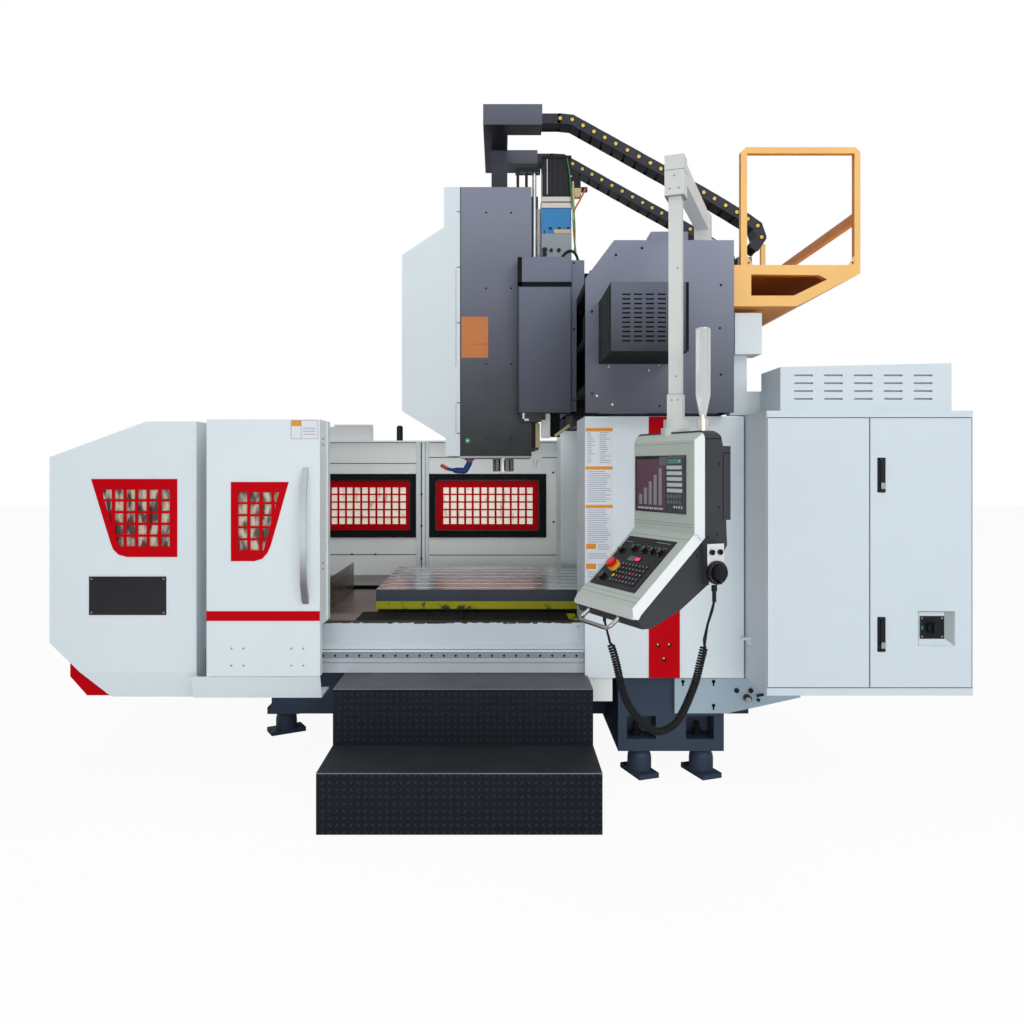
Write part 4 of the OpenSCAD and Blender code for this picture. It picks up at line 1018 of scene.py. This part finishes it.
sheet = Piece("info_sheets", BASE, SHEET)
sheet.box((422, 558), (-1031.2, -1030), (992, 1741))
sheet.done()
strips("info_sheet_bars", BASE, ORANGE,
       [((424, 556), (-1032, -1031), z) for z in ((1726, 1742), (1537, 1553), (1347, 1363))]
       + [((426, 474), (-1032, -1031), z) for z in ((1145, 1171), (1046, 1072))])
rows = Piece("info_sheet_rows", BASE, SHEET_LINE)
for top, count, cols in ((1718, 15, ((432, 476), (492, 548))), (1526, 15, ((432, 548),)), (1336, 16, ((432,
                                        548),)),
                         (1164, 3, ((484, 548),)), (1120, 3, ((436, 548),)), (1066, 3, ((484, 548),)),
                         (1030, 3, ((436, 548),))):
    for i in range(count):
        for x0, x1 in cols:
            rows.box((x0, x1 - spot.uniform(0, 30)), (-1031.9, -1031.2), (top - i * 10.5, top - i * 10.5 + 3))
rows.done()
screw_heads("stripe_holes", BASE, [(781, -1030, 670), (836, -1030, 670), (811, -1030, 600)], 12, 1,
            material=SEAM_AND_SHADE)
screw_heads("stripe_bolts", BASE, [(779, -1031, 674), (834, -1031, 674), (809, -1031, 605)], 7, 4,
            material=BRASS)
strips("side_bracket", BASE, WHITE, [((1172, 1213), (-1118, -1085), (712, 722)),
                                               ((1203, 1213), (-1118, -1085), (690, 712))], 1)

strips("cabinet_seams", BASE, GAP,
       [((1216, 2149), (-1355, -1354), z) for z in ((1773, 1776), (543, 546))]
       + [((1213.5, 1215), (-1354.6, -1354), (509, 1806))])
strips("cabinet_middle_seam", "cabinet_left", GAP, [((1680, 1682.4), (-1354.8, -1354), (547, 1772))])
face_look("cabinet_door_right", BLACK,
          lambda c, n: 1911 < c.x < 2024 and 766 < c.z < 872 and c.y < -1351 and n.y < -0.9)
for which, z in (("upper", 1512), ("lower", 787)):
    node_look("cabinet_latch_" + which, BLACK, 1)
    strips("latch_bezel_" + which, "cabinet_right", KEYPAD,
           [((1717, 1729), (-1354.2, -1354), (z - 76, z + 80)), ((1751, 1755), (-1354.2, -1354), (z - 76,
                                        z + 80)),
            ((1717, 1755), (-1354.2, -1354), (z - 78, z - 71)), ((1717, 1755), (-1354.2, -1354), (z + 71,
                                        z + 80))])
    strips("latch_lock_" + which, "latch_" + which, CHROME, [((1731, 1749), (-1366.5, -1364), (z - 62,
                                        z - 34))], 1)
strips("switch_shade", "cabinet_right", SHADE,
       [((1903, 2071), (-1354.3, -1353.8), (889, 894)), ((1903, 1906), (-1354.3, -1353.8), (735, 894))])
Piece("switch_side_shade", "cabinet_right", SHADE).prism([(2024, 889), (2068, 889), (2068, 738), (2024, 768)],
                                                         (-1348.6, -1348)).done()
screw_heads("switch_screws", "cabinet_right", [(x, -1352, z) for x in (1922, 2013) for z in (777, 861)], 5, 2)
strips("switch_lamp", "cabinet_right", GREEN, [((1919, 1927), (-1353.5, -1352), (810, 826))])
strips("vent_baffle", BASE, BAFFLE, [((1330, 2030), (-1308, -1304), (1826, 1990))])
strips("cabinet_marks", BASE, SHADE, [((1232, 1262), (-1110, -1106), (940, 946))])

face_look("rear_pan", SCREW_DARK, lambda c, n: c.y < -1006.5)
keyholes = Piece("pan_keyholes", BASE, SEAM_AND_SHADE)
for x, z in ((909, 484), (1061, 484), (1061, 365)):
    keyholes.cyl((x, -1007.2, z), 9, 1.2, "y", n=16)
    keyholes.box((x - 4, x + 4), (-1007.2, -1006), (z - 22, z))
keyholes.done()
Piece("pan_tap", BASE, SCREW_DARK).tube([(1262, -1046, 424), (1296, -1052, 432)], 7) \
    .tube([(1275, -1044, 410), (1268, -1046, 396)], 9).done()
Piece("pan_gland", BASE, SCREW).cyl((1222, -1052, 404), 15, 14, "y", n=6).done()

# bolts in the base's pockets
for i, (x, z) in enumerate(((690, 205), (1000, 205))):
    Piece("pocket_stud_%d" % i, BASE, SEAM_AND_SHADE).cyl((x, -905, 189), 26, 26, n=6).cyl((x, -905, 215), 14,
                                        40).done()

# ---------------------------------------------------------------- platform

# the platform's side, back and under faces take the darker yellows as painted shade
face_look("platform", YELLOW_SIDE_SHADE, lambda c, n: abs(n.x) > 0.9 or n.y > 0.9)
face_look("platform", YELLOW_UNDER_SHADE, lambda c, n: n.z < -0.4)
gussets = Piece("platform_gussets", BASE, YELLOW)
gussets.prism([(1185, 2519), (1213, 2519), (1185, 2566)], (-1149, -1144), bevel=1)
gussets.prism([(1700, 2519), (1672, 2519), (1700, 2566)], (-1149, -1144), bevel=1)
gussets.done()
screw_heads("gusset_bolts", BASE, [(1193, -1149, 2530), (1692, -1149, 2530)], 5, 3, material=SCREW_DARK)

# ---------------------------------------------------------------- curly cord

ROUTE = [(751, -2085, 891), (737, -2078, 825), (723, -2070, 760), (701, -2062, 694), (676, -2053, 633),
         (647, -2042, 587), (597, -2025, 557), (552, -2008, 572), (511, -1995, 611), (477, -1983, 667),
         (458, -1970, 734), (445, -1960, 797), (433, -1950, 844), (424, -1944, 870)]
LEAD_IN = [(782.2, -2105, 1058), (775, -2103, 1022), (759, -2097, 968), (748, -2090, 915)]
LEAD_OUT = [(419, -1941, 895), (410, -1937, 925), (403, -1936, 957)]
TURNS, COIL_R, WIRE_R = 92, 11.5, 4.2


def cord_line():
    """The cord's own line: a helix about the hanging route, with plain ends."""
    line = smooth_path(ROUTE, 12)
    lengths = [0.0]
    for a, b in zip(line, line[1:]):
        lengths.append(lengths[-1] + (b - a).length)
    count = TURNS * 16
    coil = []
    for i in range(count + 1):
        s = lengths[-1] * i / count
        k = max(j for j in range(len(lengths) - 1) if lengths[j] <= s + 1e-9)
        t = (s - lengths[k]) / (lengths[k + 1] - lengths[k])
        centre = line[k].lerp(line[k + 1], t)
        ahead = (line[k + 1] - line[k]).normalized()
        side = Vector((0, 1, 0))
        up = ahead.cross(side).normalized()
        grow = min(1, i / 16, (count - i) / 16)
        w = 2 * math.pi * TURNS * (i / count - 0.03 * math.sin(2 * math.pi * i / count))
        coil.append(centre + COIL_R * grow * (math.cos(w) * side + math.sin(w) * up))
    return LEAD_IN_PATH + coil + LEAD_OUT_PATH


LEAD_IN_PATH = smooth_path(LEAD_IN, 5)
LEAD_OUT_PATH = smooth_path(LEAD_OUT, 3)
points = [at(*p) for p in cord_line()]
curve = bpy.data.curves.new("curly_cord", "CURVE")
curve.dimensions = "3D"
curve.bevel_depth = WIRE_R * 0.001
curve.bevel_resolution = 3
spline = curve.splines.new("POLY")
spline.points.add(len(points) - 1)
for p, q in zip(spline.points, points):
    p.co = (*q, 1)
curve.materials.append(CORD)
cord = bpy.data.objects.new("curly_cord", curve)
bpy.context.collection.objects.link(cord)
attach(cord, "pendant")
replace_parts(cord, "cord_coil")

# ---------------------------------------------------------------- floor, light, camera

mesh = bpy.data.meshes.new("floor")
mesh.from_pydata([(-30, -30, 0), (30, -30, 0), (30, 30, 0), (-30, 30, 0)], [], [(0, 1, 2, 3)])
floor = bpy.data.objects.new("floor", mesh)
bpy.context.collection.objects.link(floor)
floor_look = Graph("floor_white")
floor_look.shader.inputs["Base Color"].default_value = (0.93, 0.94, 0.95, 1)
floor_look.shader.inputs["Roughness"].default_value = 0.9
seen = floor_look.nodes.new("ShaderNodeLightPath")
bright = floor_look.nodes.new("ShaderNodeEmission")
both = floor_look.nodes.new("ShaderNodeMixShader")
floor_look.links.new(floor_look.math("MULTIPLY", seen.outputs["Is Camera Ray"], 0.94), both.inputs[0])
floor_look.links.new(floor_look.shader.outputs[0], both.inputs[1])
floor_look.links.new(bright.outputs[0], both.inputs[2])
floor_look.links.new(both.outputs[0], floor_look.nodes["Material Output"].inputs["Surface"])
mesh.materials.append(floor_look.mat)

world = bpy.data.worlds.new("world")
bpy.context.scene.world = world
world.use_nodes = True
wn, wl = world.node_tree.nodes, world.node_tree.links
wn.clear()
path = wn.new("ShaderNodeLightPath")
sky = wn.new("ShaderNodeBackground")
sky.inputs["Color"].default_value = (0.93, 0.96, 1.0, 1)
sky.inputs["Strength"].default_value = 0.36
plain = wn.new("ShaderNodeBackground")
plain.inputs["Color"].default_value = (1, 1, 1, 1)
pick = wn.new("ShaderNodeMixShader")
shown = path.outputs["Is Camera Ray"]
for ray in ("Is Glossy Ray", "Is Transmission Ray"):
    most = wn.new("ShaderNodeMath")
    most.operation = "MAXIMUM"
    wl.new(shown, most.inputs[0])
    wl.new(path.outputs[ray], most.inputs[1])
    shown = most.outputs[0]
wl.new(shown, pick.inputs[0])
wl.new(sky.outputs[0], pick.inputs[1])
wl.new(plain.outputs[0], pick.inputs[2])
wl.new(pick.outputs[0], wn.new("ShaderNodeOutputWorld").inputs[0])


def soft_light(name, place, target, size, power, colour=(1, 1, 1)):
    data = bpy.data.lights.new(name, "AREA")
    data.shape = "RECTANGLE"
    data.size, data.size_y = size
    data.energy = power
    data.color = colour
    obj = bpy.data.objects.new(name, data)
    obj.location = place
    obj.rotation_euler = (Vector(target) - Vector(place)).to_track_quat("-Z", "Y").to_euler()
    bpy.context.collection.objects.link(obj)
    return obj


soft_light("key", (5.2, -8.8, 5.8), (0.2, 0, 1.6), (5, 4), 225)
soft_light("fill", (0.0, -9.0, 1.4), (0.1, 0, 1.3), (6, 2), 185)
soft_light("top", (0.5, -1.0, 8.0), (0.3, 0.3, 1.5), (6, 5), 185)

work = soft_light("work", at(-350, 420, 1740), at(-350, 1105, 1150), (1.6, 0.25), 1.6)
work.visible_camera = False

cam_data = bpy.data.cameras.new("camera")
cam_data.lens = 29.32
cam_data.shift_x = 12 / 1024
cam_data.shift_y = -44 / 1024
cam = bpy.data.objects.new("camera", cam_data)
cam.location = at(0, -5150, 1545)
cam.rotation_euler = (math.pi / 2, 0, 0)
bpy.context.collection.objects.link(cam)
bpy.context.scene.camera = cam
bpy.context.scene.view_settings.view_transform = "Standard"
